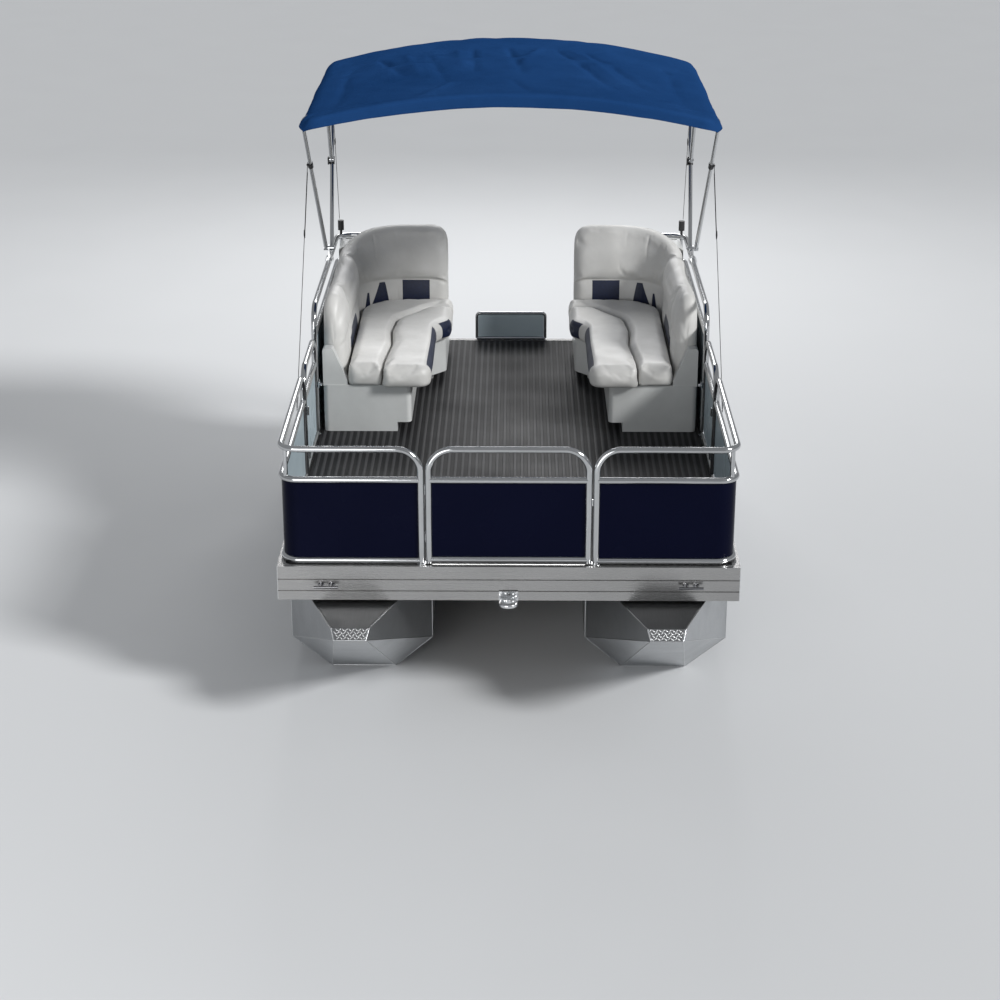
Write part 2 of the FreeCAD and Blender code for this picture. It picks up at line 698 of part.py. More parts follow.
def add_cleats():
    """Four mooring cleats stand out of the bow and stern fascias."""
    cleats = []
    for side in (-1, 1):
        for y, out in ((0, -1), (mm("deck_length"), 1)):
            x = side * inboard("cleat_gap")
            z = -mm("fascia_height") * 0.54
            face = y + out * mm("seat_gap")
            parts = [rod(at(x - mm("cleat_length") / 2, face + out * 34, z),
                         at(x + mm("cleat_length") / 2, face + out * 34, z), 7)]
            for leg in (-1, 1):
                parts.append(rod(at(x + leg * 26, face, z), at(x + leg * 26, face + out * 34, z), 8))
                parts.append(rod(at(x + leg * 26, face, z), at(x + leg * 26, face + out * 5, z), 16))
            cleats.append(fused(parts))
    keep_shape("mooring_cleats", Part.makeCompound(cleats))


# Lounges

def closed_outline(points, bends):
    """A closed flat line of straight runs with an arc at every corner."""
    count = len(points)
    arcs = []
    for index, corner in enumerate(points):
        back = (points[index - 1] - corner).normalize()
        ahead = (points[(index + 1) % count] - corner).normalize()
        half = back.getAngle(ahead) / 2
        radius = bends[index]
        reach = radius / math.tan(half)
        bulge = (back + ahead).normalize() * (radius / math.sin(half) - radius)
        arcs.append((corner + back * reach, corner + bulge, corner + ahead * reach))
    edges = []
    for index, (first, top, last) in enumerate(arcs):
        edges.append(Part.Arc(first, top, last).toShape())
        edges.append(Part.makeLine(last, arcs[(index + 1) % count][0]))
    return Part.Wire(edges)


def slab(plan, bends, low, high):
    """A level slab with a rounded plan outline."""
    wire = closed_outline([at(x, y, low) for x, y in plan], bends)
    return Part.Face(wire).extrude(FreeCAD.Vector(0, 0, high - low))


def softened(shape, top_radius, bottom_radius, low, high):
    """Rounds the whole top edge and the whole bottom edge of a slab."""
    for radius, level in ((top_radius, high), (bottom_radius, low)):
        edges = [edge for edge in shape.Edges if edge.BoundBox.ZLength < 0.01
                 and abs(edge.BoundBox.ZMin - deck - level) < 0.01]
        shape = shape.makeFillet(radius, edges)
    return shape


def lounge_base():
    """Moulded base: an L in plan with a toe recess, an arm in front and a shelf behind the backrest."""
    low = mm("seat_gap")
    high = mm("base_height")
    bend = mm("base_bend")
    outer = inboard("base_gap")
    inner = inboard("base_edge")
    end = inboard("base_end_edge")
    front = mm("base_front")
    step = mm("base_step")
    step_end = mm("base_step_end")
    back = mm("base_back")
    plan = [(outer, front), (inner, front), (inner, step), (end, step_end), (end, back), (outer, back)]
    base = slab(plan, [bend, bend, bend * 4, bend * 2, bend, bend * 1.3], low, high)
    toe = mm("toe_depth")
    out = toe * 0.7
    kick = [(inner + toe, front - out), (inner - out, front - out), (inner - out, step - toe / 4),
            (end - out, step_end - toe / 3), (end - out, back + out), (end + toe, back + out),
            (end + toe, step_end + toe / 4), (inner + toe, step + toe / 3)]
    kick_bends = [bend / 3, bend / 3, bend * 3.3, bend * 2, bend / 3, bend / 3, bend * 2, bend * 2.7]
    base = base.cut(slab(kick, kick_bends, low - 5, low + mm("toe_height")))
    corner = mm("back_turn")
    heart = (outer - corner, back - corner)
    top = mm("shelf_height")
    shelf = slab([heart, (outer, heart[1]), (outer, back), (heart[0], back)], [1, 1, bend * 1.3, 1],
                 high - 5, top)
    space = rod(at(*heart, high), at(*heart, top + 10), corner + mm("back_room"))
    right = outer - mm("slot_inset")
    left = right - mm("slot_wide")
    rear = back - mm("slot_inset")
    fore = rear - mm("slot_deep")
    slot = slab([(left, rear), (right, rear), (right, fore), (left, fore)], [bend / 5] * 4,
                top - mm("slot_deep"), top + 5)
    return fused([base, shelf.cut(space).cut(slot), lounge_arm()])


def lounge_arm():
    """The base's arm, which rises outboard in front of the backrest."""
    seat = mm("base_height")
    bend = mm("base_bend")
    outer = inboard("base_gap")
    top = mm("arm_height")
    foot = inboard("back_face_gap") - 4
    shoulder = outer - mm("arm_wide") * 0.42
    start = mm("base_front") + 4
    sides = [(foot, seat - 5), (foot, seat + 24), (shoulder, top), (outer, top), (outer, seat - 5)]
    face = Part.Face(Part.makePolygon([at(x, start, z) for x, z in sides + sides[:1]]))
    arm = face.extrude(FreeCAD.Vector(0, mm("arm_depth"), 0))
    return arm.makeFillet(bend / 2, [line for line in arm.Edges if line.BoundBox.YLength > 1
                                     and line.BoundBox.ZMax - deck > seat + bend])


def cushion_seam():
    """The wavy line between the two cushions, from the front to the lobe's end."""
    start = mm("base_front")
    edge = inboard("seam_edge")
    wave = mm("seam_wave")
    length = mm("seam_length")
    end = inboard("cushion_end_edge")
    last = edge - wave * 1.1
    return [(edge, start), (edge, start + length * 0.115), (edge - wave * 0.9, start + length * 0.48),
            (edge - wave * 0.37, start + length * 0.745), (last, start + length),
            (end + (last - end) * 0.42, start + length + mm("seam_tail") * 0.92),
            (end, start + length + mm("seam_tail"))]


def seat_cushions():
    """Two cushions that meet along a wavy seam, both with a rolled edge all round."""
    low = mm("base_height") + mm("seat_gap")
    high = low + mm("cushion_thick")
    gap = mm("soft_gap")
    seam = cushion_seam()
    inner = [(x - gap / 2, y - gap / 2) for x, y in seam]
    outer = [(x + gap / 2, y + gap / 2) for x, y in seam]
    front = mm("cushion_front")
    edge = inboard("cushion_edge")
    face = mm("stern_back_face") - mm("back_room")
    side_face = inboard("back_face_gap") - mm("back_room")
    lap = mm("cushion_bend") / 3
    inner_plan = [(inner[0][0], front)] + inner[1:] + [
        (seam[-1][0], mm("base_step_end") - lap), (edge, mm("base_step") + lap), (edge, front)]
    outer_plan = [(outer[0][0], front + lap)] + outer[1:] + [
        (seam[-1][0], face), (side_face, face), (side_face, front + lap)]
    bend = mm("cushion_bend")
    seam_bends = [bend * share for share in (0.75, 2, 2.17, 1.67, 1)]
    corner = mm("back_turn") - (mm("back_face_gap") - mm("base_gap")) - mm("back_room")
    inner_bends = [bend * 0.375] + seam_bends + [bend * share for share in (0.25, 0.75, 1.33, 0.625)]
    outer_bends = [bend * 0.1] + seam_bends + [bend * 0.1, bend * 0.375, corner, bend / 2]
    inner_solid = softened(slab(inner_plan, inner_bends, low, high), bend * 0.28, bend * 0.1, low, high)
    outer_solid = softened(slab(outer_plan, outer_bends, low, high), bend / 12, bend / 15, low, high)
    return Part.makeCompound([inner_solid, outer_solid])


def back_section(origin, inward, low, top, waist, head):
    """One closed section of the backrest: flat below and behind, full at the waist, rolled at the top."""
    rise = top - low

    def spot(n, z):
        return at(origin[0] + inward[0] * n, origin[1] + inward[1] * n, z)

    front = Part.BSplineCurve()
    front.interpolate([spot(n, z) for n, z in ((waist * 0.9, low), (waist, low + rise * 0.3),
                                               (waist * 0.93, low + rise * 0.56), (head, top - rise * 0.16),
                                               (head * 0.5, top), (0, top - rise * 0.16))])
    return Part.Wire([Part.makeLine(spot(0, low), spot(waist * 0.9, low)), front.toShape(),
                      Part.makeLine(spot(0, top - rise * 0.16), spot(0, low))])


def backrest():
    """A loft round the corner whose top dips and rises along the side."""
    low = mm("base_height") + mm("seat_gap")
    outer = inboard("base_gap")
    back = mm("base_back")
    turn = mm("back_turn")
    side_top = low + mm("side_back_rise")
    stern_top = low + mm("stern_back_rise")
    side_waist = outer - inboard("back_face_gap")
    stern_waist = back - mm("stern_back_face")
    head = mm("back_head")
    stations = []
    start = mm("base_front") + mm("arm_depth") + 12
    straight = back - turn - start
    for share, drop, fill in ((0, 200, 0.5), (0.025, 90, 0.8), (0.08, 18, 0.95), (0.19, 0, 0.98),
                              (0.46, 6, 0.98), (0.7, 34, 0.94), (0.9, 0, 1.0)):
        stations.append(((outer, start + straight * share), (-1, 0), side_top - drop, side_waist * fill,
                         head * fill))
    for turned in (0, 30, 60, 90):
        share = 0.35 + 0.65 * turned / 90
        angle = math.radians(turned)
        spot = (outer - turn + turn * math.cos(angle), back - turn + turn * math.sin(angle))
        top = side_top + (stern_top - side_top) * share
        stations.append((spot, (-math.cos(angle), -math.sin(angle)), top,
                         side_waist + (stern_waist - side_waist) * turned / 90, head))
    end = inboard("base_end_edge") + 2
    for reach, drop, fill in ((204, 0, 1.0), (112, 0, 1.0), (48, 14, 0.96), (16, 50, 0.85), (0, 120, 0.65)):
        stations.append(((end + reach, back), (0, -1), stern_top - drop, stern_waist * fill, head * fill))
    return Part.makeLoft([back_section(spot, inward, low, top, waist, crest)
                          for spot, inward, top, waist, crest in stations], True, False)


def add_lounges():
    for name, side in SIDES:
        keep_shape("lounge_base_" + name, on_side(lounge_base(), side))
        keep_shape("seat_cushion_" + name, on_side(seat_cushions(), side))
        keep_shape("backrest_" + name, on_side(backrest(), side))


# Canopy

def bow_direction(angle):
    turn = math.radians(angle)
    return math.cos(turn), math.sin(turn)


def arch(x, low, crown, drop, bend, spot):
    """A hoop of two legs, two corner bends and one long arc, tangent all the way round.

    spot turns a distance off centre and a rise into a point.
    """
    radius = (x * x + drop * drop) / (2 * drop)
    heart = crown - radius
    corner_x = x - bend
    corner_z = heart + math.sqrt((radius - bend) ** 2 - corner_x ** 2)
    tilt = math.atan2(corner_z - heart, corner_x)
    join = (corner_x + bend * math.cos(tilt), corner_z + bend * math.sin(tilt))
    half = (corner_x + bend * math.cos(tilt / 2), corner_z + bend * math.sin(tilt / 2))
    edges = [Part.makeLine(spot(x, low), spot(x, corner_z)),
             Part.Arc(spot(x, corner_z), spot(*half), spot(*join)).toShape(),
             Part.Arc(spot(*join), spot(0, crown), spot(-join[0], join[1])).toShape(),
             Part.Arc(spot(-join[0], join[1]), spot(-half[0], half[1]), spot(-x, corner_z)).toShape(),
             Part.makeLine(spot(-x, corner_z), spot(-x, low))]
    return Part.Wire(edges)


def bow_wire(x, foot, angle):
    """The centre line of a bow that stands on two feet and leans by the angle."""
    dy, dz = bow_direction(angle)

    def spot(offset, reach):
        return at(offset, foot[0] + reach * dy, foot[1] + reach * dz)

    crown = (mm("bow_crown_rise") + pivot_z - foot[1]) / dz
    return arch(x, 0, crown, mm("bow_drop") / dz, mm("bow_bend"), spot)


def jaw_place():
    """Where the middle bow is hung, just ahead of the rear bow's leg."""
    dy, dz = bow_direction(mm("rear_bow_angle"))
    s = mm("jaw_s")
    return (mm("pivot_y") + s * dy - mm("jaw_offset") * dz, pivot_z + s * dz + mm("jaw_offset") * dy)


def strap_place():
    dy, dz = bow_direction(mm("front_bow_angle"))
    s = mm("strap_jaw_s")
    return (mm("pivot_y") + s * dy, pivot_z + s * dz)


def bow_hoop(x, foot, angle, bore):
    shapes = [swept_rod(bow_wire(x, foot, angle), mm("bow_r"))]
    for side in (-1, 1):
        half = mm("bow_r") + 1
        shapes.append(rod(at(side * x - half, foot[0], foot[1]), at(side * x + half, foot[0], foot[1]),
                          mm("bow_r") + mm("bow_eye_wall")))
    hoop = fused(shapes)
    for side in (-1, 1):
        hole = rod(at(side * x - 30, foot[0], foot[1]), at(side * x + 30, foot[0], foot[1]), bore)
        hoop = hoop.cut(hole)
    return hoop


def add_bows():
    bore = mm("pin_r") + mm("pin_fit")
    foot = (mm("pivot_y"), pivot_z)
    keep_shape("canopy_bow_front", bow_hoop(inboard("front_bow_gap"), foot, mm("front_bow_angle"), bore))
    keep_shape("canopy_bow_rear", bow_hoop(inboard("rear_bow_gap"), foot, mm("rear_bow_angle"), bore))
    jaw = jaw_place()
    keep_shape("canopy_bow_middle", bow_hoop(inboard("rear_bow_gap"), jaw, mm("middle_bow_angle"), bore))


def add_rail_mounts():
    """Clamps on the tall rails with a fixed pin that both main bows turn on."""
    mounts = []
    r = mm("tube_r") + mm("seat_gap")
    x = (inboard("front_bow_gap") + inboard("rear_bow_gap")) / 2
    y = mm("pivot_y")
    rail = mm("tall_rail")
    half = mm("mount_half")
    tab_half = mm("mount_tab") / 2
    eye = mm("mount_eye_r")
    for side in (-1, 1):
        centre = side * rail_x
        ring = rod(at(centre, y - half, rail), at(centre, y + half, rail), r + mm("mount_wall"))
        tab = box(side * (x - tab_half), side * (x + tab_half), y - eye, y + eye, rail, pivot_z)
        top = rod(at(side * (x - tab_half), y, pivot_z), at(side * (x + tab_half), y, pivot_z), eye)
        pin = rod(at(side * (inboard("rear_bow_gap") - mm("bow_r") - 2), y, pivot_z),
                  at(side * (inboard("front_bow_gap") + mm("bow_r") + 2), y, pivot_z), mm("pin_r"))
        hole = rod(at(centre, y - half * 1.1, rail), at(centre, y + half * 1.1, rail), r)
        mounts.append(fused([ring, tab, top]).cut(hole).fuse(pin).removeSplitter())
    keep_shape("canopy_rail_mounts", Part.makeCompound(mounts))


def add_jaws():
    """Sleeves on the rear bow that carry the middle bow, and on the front bow for the straps."""
    dy, dz = bow_direction(mm("rear_bow_angle"))
    jaw = jaw_place()
    s = mm("jaw_s")
    r = mm("bow_r") + mm("seat_gap")
    sleeves = []
    for side in (-1, 1):
        x = side * inboard("rear_bow_gap")
        centre = at(x, mm("pivot_y") + s * dy, pivot_z + s * dz)
        along = FreeCAD.Vector(0, dy, dz)
        half = mm("jaw_half")
        sleeve = rod(centre - along * half, centre + along * half, r + mm("jaw_wall"))
        pin = rod(at(x - mm("bow_r") - 12, jaw[0], jaw[1]), at(x + mm("bow_r") + 4, jaw[0], jaw[1]),
                  mm("pin_r"))
        cheek = box(x - mm("bow_r") - 12, x - mm("bow_r") - 4, mm("pivot_y") + s * dy - 34,
                    mm("pivot_y") + s * dy + 6, pivot_z + s * dz - 20, pivot_z + s * dz + 24)
        bridge = box(x - mm("bow_r") - 12, x, mm("pivot_y") + s * dy - 8, mm("pivot_y") + s * dy + 6,
                     pivot_z + s * dz - 20, pivot_z + s * dz + 20)
        hole = rod(centre - along * half * 2.5, centre + along * half * 2.5, r)
        sleeves.append(fused([sleeve, cheek, bridge]).cut(hole).fuse(pin).removeSplitter())
    keep_shape("canopy_jaw_slides", Part.makeCompound(sleeves))
    strap = strap_place()
    dy, dz = bow_direction(mm("front_bow_angle"))
    sleeves = []
    for side in (-1, 1):
        x = side * inboard("front_bow_gap")
        centre = at(x, strap[0], strap[1])
        along = FreeCAD.Vector(0, dy, dz)
        half = mm("slide_half")
        sleeve = rod(centre - along * half, centre + along * half, r + mm("jaw_wall"))
        hole = rod(centre - along * half * 2, centre + along * half * 2, r)
        pin = rod(at(x + side * (r + 1), strap[0], strap[1]),
                  at(side * (inboard("strap_gap") + 5), strap[0], strap[1]), mm("pin_r"))
        sleeves.append(fused([sleeve.cut(hole), pin]))
    keep_shape("canopy_strap_slides", Part.makeCompound(sleeves))


def ribbon(start, end, across, width, wall):
    """A taut webbing strap: a thin bar from one point to the other."""
    along = (end - start).normalize()
    flat = across.normalize()
    thick = along.cross(flat)
    base = start - flat * (wall / 2) - thick * (width / 2)
    section = Part.makePolygon([base, base + flat * wall, base + flat * wall + thick * width,
                                base + thick * width, base])
    return Part.Face(section).extrude(end - start)


def add_straps():
    """Webbing straps that hold the canopy open, fore and aft."""
    across = FreeCAD.Vector(1, 0, 0)
    strap = strap_place()
    x = inboard("strap_gap")
    wall = mm("strap_wall")
    foot = (mm("strap_foot_y"), mm("strap_foot_rise"))
    band = ribbon(at(x, *strap), at(x, *foot), across, mm("strap_width"), wall)
    shapes = [band]
    for spot in (strap, foot):
        shapes.append(rod(at(x - wall / 2, *spot), at(x + wall / 2, *spot), mm("strap_width") / 2 + 2))
    hole = rod(at(x - 5, *strap), at(x + 5, *strap), mm("pin_r") + mm("pin_fit"))
    shape = fused(shapes).cut(hole)
    for name, side in SIDES:
        keep_shape("canopy_strap_front_" + name, on_side(shape, side))
    studs = []
    for side in (-1, 1):
        seat = rail_x + mm("tube_r") + mm("seat_gap")
        disc = rod(at(side * seat, *foot), at(side * (seat + 4), *foot), 12)
        stud = rod(at(side * seat, *foot), at(side * (x - wall / 2 - 0.5), *foot), 6)
        studs.append(fused([disc, stud]))
    keep_shape("strap_anchor_studs", Part.makeCompound(studs))
    post_y = mm("stern_rail") - mm("corner_bend") * (1 - math.sqrt(0.5))
    post_x = rail_x - mm("corner_bend") * (1 - math.sqrt(0.5))
    rail = mm("tall_rail") + mm("tube_r")
    posts = []
    for side in (-1, 1):
        post = rod(at(side * post_x, post_y, rail + mm("seat_gap")),
                   at(side * post_x, post_y, rail + mm("stern_post_height")), 8)
        cap = rod(at(side * post_x, post_y, rail + mm("stern_post_height") - mm("stern_cap_height")),
                  at(side * post_x, post_y, rail + mm("stern_post_height")), mm("stern_cap_r"))
        posts.append(post.fuse(cap).removeSplitter())
    keep_shape("stern_strap_posts", Part.makeCompound(posts))
    dy, dz = bow_direction(mm("rear_bow_angle"))
    s = (mm("bow_crown_rise") - mm("bow_drop") - mm("bow_bend") - 70) / dz
    head = (mm("pivot_y") + s * dy + mm("bow_r") * 2, pivot_z + s * dz)
    straps = []
    for side in (-1, 1):
        top = at(side * inboard("rear_bow_gap"), head[0], head[1])
        foot = at(side * post_x, post_y, rail + mm("stern_post_height") + 4)
        straps.append(ribbon(foot, top, across, mm("strap_width"), mm("strap_wall")))
    keep_shape("canopy_straps_rear", Part.makeCompound(straps))


def canopy_block(out, start, end, low):
    """The filled arch that lies the given distance outside the bows, between two places along the boat."""

    def spot(offset, rise):
        return at(offset, start, pivot_z + rise)

    crown = mm("bow_crown_rise")
    half = inboard("front_bow_gap") + out
    line = arch(half, low, crown + out, mm("bow_drop"), mm("canopy_bend") + out, spot)
    face = Part.Face(Part.Wire(line.Edges + [Part.makeLine(spot(-half, low), spot(half, low))]))
    return face.extrude(FreeCAD.Vector(0, end - start, 0))


def add_canopy():
    """One sheet over the three bows, with hems that hang down all round."""
    gap = mm("bow_r") + mm("canopy_gap")
    wall = mm("canopy_wall")
    crown = mm("bow_crown_rise")
    ends = []
    for angle, way in ((mm("front_bow_angle"), -1), (mm("rear_bow_angle"), 1)):
        dy, dz = bow_direction(angle)
        ends.append(mm("pivot_y") + crown * dy / dz + way * gap)
    front, rear = ends
    low = crown - mm("canopy_depth")
    cover = canopy_block(gap + wall, front - wall, rear + wall, low)
    cover = cover.cut(canopy_block(gap, front, rear, low - 1))
    half = inboard("front_bow_gap") + gap
    hem = crown - mm("canopy_hem")
    left = at(-half, front, pivot_z + low)
    right = at(half, front, pivot_z + low)
    arc = Part.Arc(left, at(0, front, pivot_z + hem), right)
    under = Part.Face(Part.Wire([arc.toShape(), Part.makeLine(right, left)]))
    under.translate(FreeCAD.Vector(0, -wall * 2, 0))
    cover = cover.cut(under.extrude(FreeCAD.Vector(0, rear - front + wall * 4, 0)))
    keep_shape("canopy", cover)


add_hulls()
add_beams()
add_risers()
add_deck()
add_fascias()
add_corner_caps()
add_fences()
add_gates()
add_splash_panel()
add_motor_pod()
add_tow_eye()
add_cleats()
add_lounges()
add_rail_mounts()
add_bows()
add_jaws()
add_straps()
add_canopy()

doc.recompute()
for thing in doc.Objects:
    if "Invalid" in thing.State or "Error" in thing.State:
        raise RuntimeError("%s failed: %s" % (thing.Label, thing.State))
for node in nodes:
    if node.Shape.isNull() or not node.Shape.isValid():
        raise RuntimeError("%s has no valid shape" % node.Label)

os.makedirs("parts", exist_ok=True)
for node in nodes:
    node.Shape.exportStep("parts/%s.step" % node.Label)
    print(node.Label, len(node.Shape.Solids), round(node.Shape.Volume / 1e6, 3))
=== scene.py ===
import bpy
import bmesh
import json
import math
from mathutils import Matrix, Vector, noise
from mathutils.bvhtree import BVHTree


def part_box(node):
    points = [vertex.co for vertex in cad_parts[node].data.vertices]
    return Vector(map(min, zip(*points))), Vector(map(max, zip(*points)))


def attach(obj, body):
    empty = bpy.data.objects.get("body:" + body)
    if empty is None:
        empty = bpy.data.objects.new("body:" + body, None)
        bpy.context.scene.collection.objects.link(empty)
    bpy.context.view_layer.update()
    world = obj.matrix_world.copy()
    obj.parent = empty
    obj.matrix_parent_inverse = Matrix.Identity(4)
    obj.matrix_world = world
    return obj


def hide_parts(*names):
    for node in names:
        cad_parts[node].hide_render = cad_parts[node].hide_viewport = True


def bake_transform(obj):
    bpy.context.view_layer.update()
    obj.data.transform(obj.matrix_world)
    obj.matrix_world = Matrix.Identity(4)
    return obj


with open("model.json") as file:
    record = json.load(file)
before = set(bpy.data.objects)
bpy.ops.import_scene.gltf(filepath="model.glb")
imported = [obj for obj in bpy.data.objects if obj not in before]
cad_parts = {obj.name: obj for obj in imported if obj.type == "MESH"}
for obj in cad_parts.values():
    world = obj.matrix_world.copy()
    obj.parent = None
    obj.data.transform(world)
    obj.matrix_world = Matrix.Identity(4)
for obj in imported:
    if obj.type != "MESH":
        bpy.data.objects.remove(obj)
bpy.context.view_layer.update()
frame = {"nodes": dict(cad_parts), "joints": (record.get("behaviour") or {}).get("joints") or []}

nodes = frame["nodes"]
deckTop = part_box("deck_flooring")[1].z
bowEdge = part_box("fascia_bow")[0].y
sides = {"port": 1, "starboard": -1}


def deckPoint(x, y, rise):  # metres: off centre, back from the bow edge, above the deck
    return Vector((x, bowEdge + y, deckTop + rise))


def addObject(name, data):
    made = bpy.data.objects.new(name, data)
    bpy.context.scene.collection.objects.link(made)
    return made


def addNode(tree, kind, links=None, values=None, **settings):  # one node, its links and its numbers
    node = tree.nodes.new(kind)
    for name, value in settings.items():
        setattr(node, name, value)
    for socket, value in (values or {}).items():
        node.inputs[socket].default_value = value
    for socket, source in (links or {}).items():
        tree.links.new(source, node.inputs[socket])
    return node


# Materials

def shaderNode(tree, kind, links=None, values=None, **settings):
    return addNode(tree, "ShaderNode" + kind, links, values, **settings)


def newMaterial(name, colour, roughness, metallic=0.0, **sockets):
    material = bpy.data.materials.new(name)
    material.use_nodes = True
    shader = material.node_tree.nodes["Principled BSDF"]
    shader.inputs["Base Color"].default_value = (*colour, 1)
    shader.inputs["Roughness"].default_value = roughness
    shader.inputs["Metallic"].default_value = metallic
    for socket, value in sockets.items():
        shader.inputs[socket.replace("_", " ")].default_value = value
    return material, material.node_tree, shader


def objectPattern(tree, stretch=(1, 1, 1)):  # Object coordinates
    place = shaderNode(tree, "TexCoord")
    mapping = shaderNode(tree, "Mapping", {"Vector": place.outputs["Object"]}, {"Scale": stretch})
    return mapping.outputs["Vector"]


def objectAxes(tree):
    place = shaderNode(tree, "TexCoord")
    return shaderNode(tree, "SeparateXYZ", {"Vector": place.outputs["Object"]}).outputs


def noiseAt(tree, scale, detail=3.0, rough=0.5, stretch=(1, 1, 1)):
    texture = shaderNode(tree, "TexNoise", {"Vector": objectPattern(tree, stretch)},
                         {"Scale": scale, "Detail": detail, "Roughness": rough})
    return texture.outputs["Fac"]


def spread(tree, value, low=0, high=1, fromLow=0.3, fromHigh=0.7):
    node = shaderNode(tree, "MapRange", {"Value": value},
                      {"From Min": fromLow, "From Max": fromHigh, "To Min": low, "To Max": high})
    return node.outputs["Result"]


def compute(tree, operation, first, second):
    node = shaderNode(tree, "Math", operation=operation)
    for slot, value in enumerate((first, second)):
        if isinstance(value, (int, float)):
            node.inputs[slot].default_value = value
        else:
            tree.links.new(value, node.inputs[slot])
    return node.outputs["Value"]


def mixColours(tree, factor, first, second):
    node = shaderNode(tree, "Mix", {"Factor": factor}, data_type="RGBA")
    for socket, colour in (("A", first), ("B", second)):
        entry = [s for s in node.inputs if s.name == socket and s.type == "RGBA"][0]
        if isinstance(colour, tuple):
            entry.default_value = (*colour, 1)
        else:
            tree.links.new(colour, entry)
    return [s for s in node.outputs if s.type == "RGBA"][0]


def darker(colour, share):
    return tuple(c * share for c in colour)


def wire(tree, shader, colour, roughness=None):
    tree.links.new(colour, shader.inputs["Base Color"])
    if roughness is not None:
        tree.links.new(roughness, shader.inputs["Roughness"])


def addBump(tree, shader, height, strength, distance):
    bump = shaderNode(tree, "Bump", {"Height": height}, {"Strength": strength, "Distance": distance})
    earlier = shader.inputs["Normal"].links
    if earlier:
        tree.links.new(earlier[0].from_socket, bump.inputs["Normal"])
    tree.links.new(bump.outputs["Normal"], shader.inputs["Normal"])


metalFinish = {  # colour, roughness from and to, stretch of the grain and its depth, unevenness of the sheet
    "hull": ((0.50, 0.515, 0.53), (0.26, 0.46), (30, 1.5, 30), 0.0004, 0.006),
    "frame": ((0.42, 0.43, 0.44), (0.40, 0.62), (4, 40, 40), 0.0004, 0.002),
    "fasciaAcross": ((0.46, 0.455, 0.45), (0.20, 0.34), (0.8, 60, 60), 0.0003, 0.001),
    "fasciaAlong": ((0.46, 0.455, 0.45), (0.20, 0.34), (60, 0.8, 60), 0.0003, 0.001),
    "rail": ((0.60, 0.61, 0.62), (0.07, 0.16), (14, 14, 14), 0.0001, 0.0),
    "pod": ((0.55, 0.56, 0.57), (0.32, 0.52), (6, 30, 30), 0.0005, 0.004),
    "chrome": ((0.78, 0.79, 0.80), (0.08, 0.22), (40, 40, 40), 0.0001, 0.0),
    "steel": ((0.62, 0.63, 0.64), (0.16, 0.30), (90, 90, 90), 0.0001, 0.0),
    # plate: painted shade, darker than the hull so that the tread's painted glints stand out
    "plate": ((0.24, 0.245, 0.25), (0.30, 0.50), (30, 1.5, 30), 0.0004, 0.003),
    "cast": ((0.27, 0.27, 0.28), (0.16, 0.30), (50, 50, 50), 0.0003, 0.0),
    "weld": ((0.60, 0.61, 0.62), (0.24, 0.44), (45, 45, 45), 0.0012, 0.0),
    # tread: painted glint, the lozenges much paler than the plate they are pressed from
    "tread": ((0.93, 0.935, 0.94), (0.22, 0.36), (60, 60, 60), 0.0002, 0.0),
}


def metalMaterial(name):
    colour, rough, stretch, depth, unevenness = metalFinish[name]
    material, tree, shader = newMaterial(name + "Metal", colour, rough[0], 1.0)
    grain = noiseAt(tree, 6.0, 4.0, 0.6, stretch)
    cloud = noiseAt(tree, 2.4, 4.0, 0.6)
    blend = compute(tree, "MULTIPLY", compute(tree, "ADD", grain, cloud), 0.5)
    tint = mixColours(tree, spread(tree, cloud), colour, darker(colour, 0.82))
    wire(tree, shader, tint, spread(tree, blend, *rough))
    addBump(tree, shader, grain, 0.35, depth)
    if unevenness:
        addBump(tree, shader, cloud, 0.5, unevenness)
    return material


def panelMaterial(name, outside, inside):  # dark gloss and pale inside, told apart by which way a face looks
    material, tree, shader = newMaterial(name, outside, 0.26, 0.0, Specular_IOR_Level=0.05)
    place = shaderNode(tree, "TexCoord")
    flat = shaderNode(tree, "VectorMath", {0: place.outputs["Object"]}, {1: (1, 1, 0)}, operation="MULTIPLY")
    facing = shaderNode(tree, "VectorMath", {0: flat.outputs[0], 1: place.outputs["Normal"]},
                        operation="DOT_PRODUCT")
    outwards = compute(tree, "GREATER_THAN", facing.outputs["Value"], 0.0)
    shade = noiseAt(tree, 3.0)
    inner = mixColours(tree, shade, inside, darker(inside, 0.88))
    outer = mixColours(tree, shade, outside, darker(outside, 1.3))
    wire(tree, shader, mixColours(tree, outwards, inner, outer), spread(tree, shade, 0.20, 0.32))
    addBump(tree, shader, noiseAt(tree, 90.0, 1.0), 0.12, 0.0006)
    return material


def mouldedMaterial(name, colour, roughness=(0.28, 0.45), coat=0.0):
    material, tree, shader = newMaterial(name, colour, roughness[0], 0.0, Coat_Weight=coat)
    cloud = noiseAt(tree, 3.5, 5.0, 0.6)
    wire(tree, shader, mixColours(tree, spread(tree, cloud), colour, darker(colour, 0.86)),
         spread(tree, cloud, *roughness))
    addBump(tree, shader, noiseAt(tree, 260.0, 2.0), 0.3, 0.0003)
    return material


vinyl = {"pale": (0.60, 0.595, 0.575), "shade": (0.52, 0.515, 0.495), "insert": (0.001, 0.005, 0.024),
         "insertFleck": (0.004, 0.014, 0.062), "pebble": 420.0}


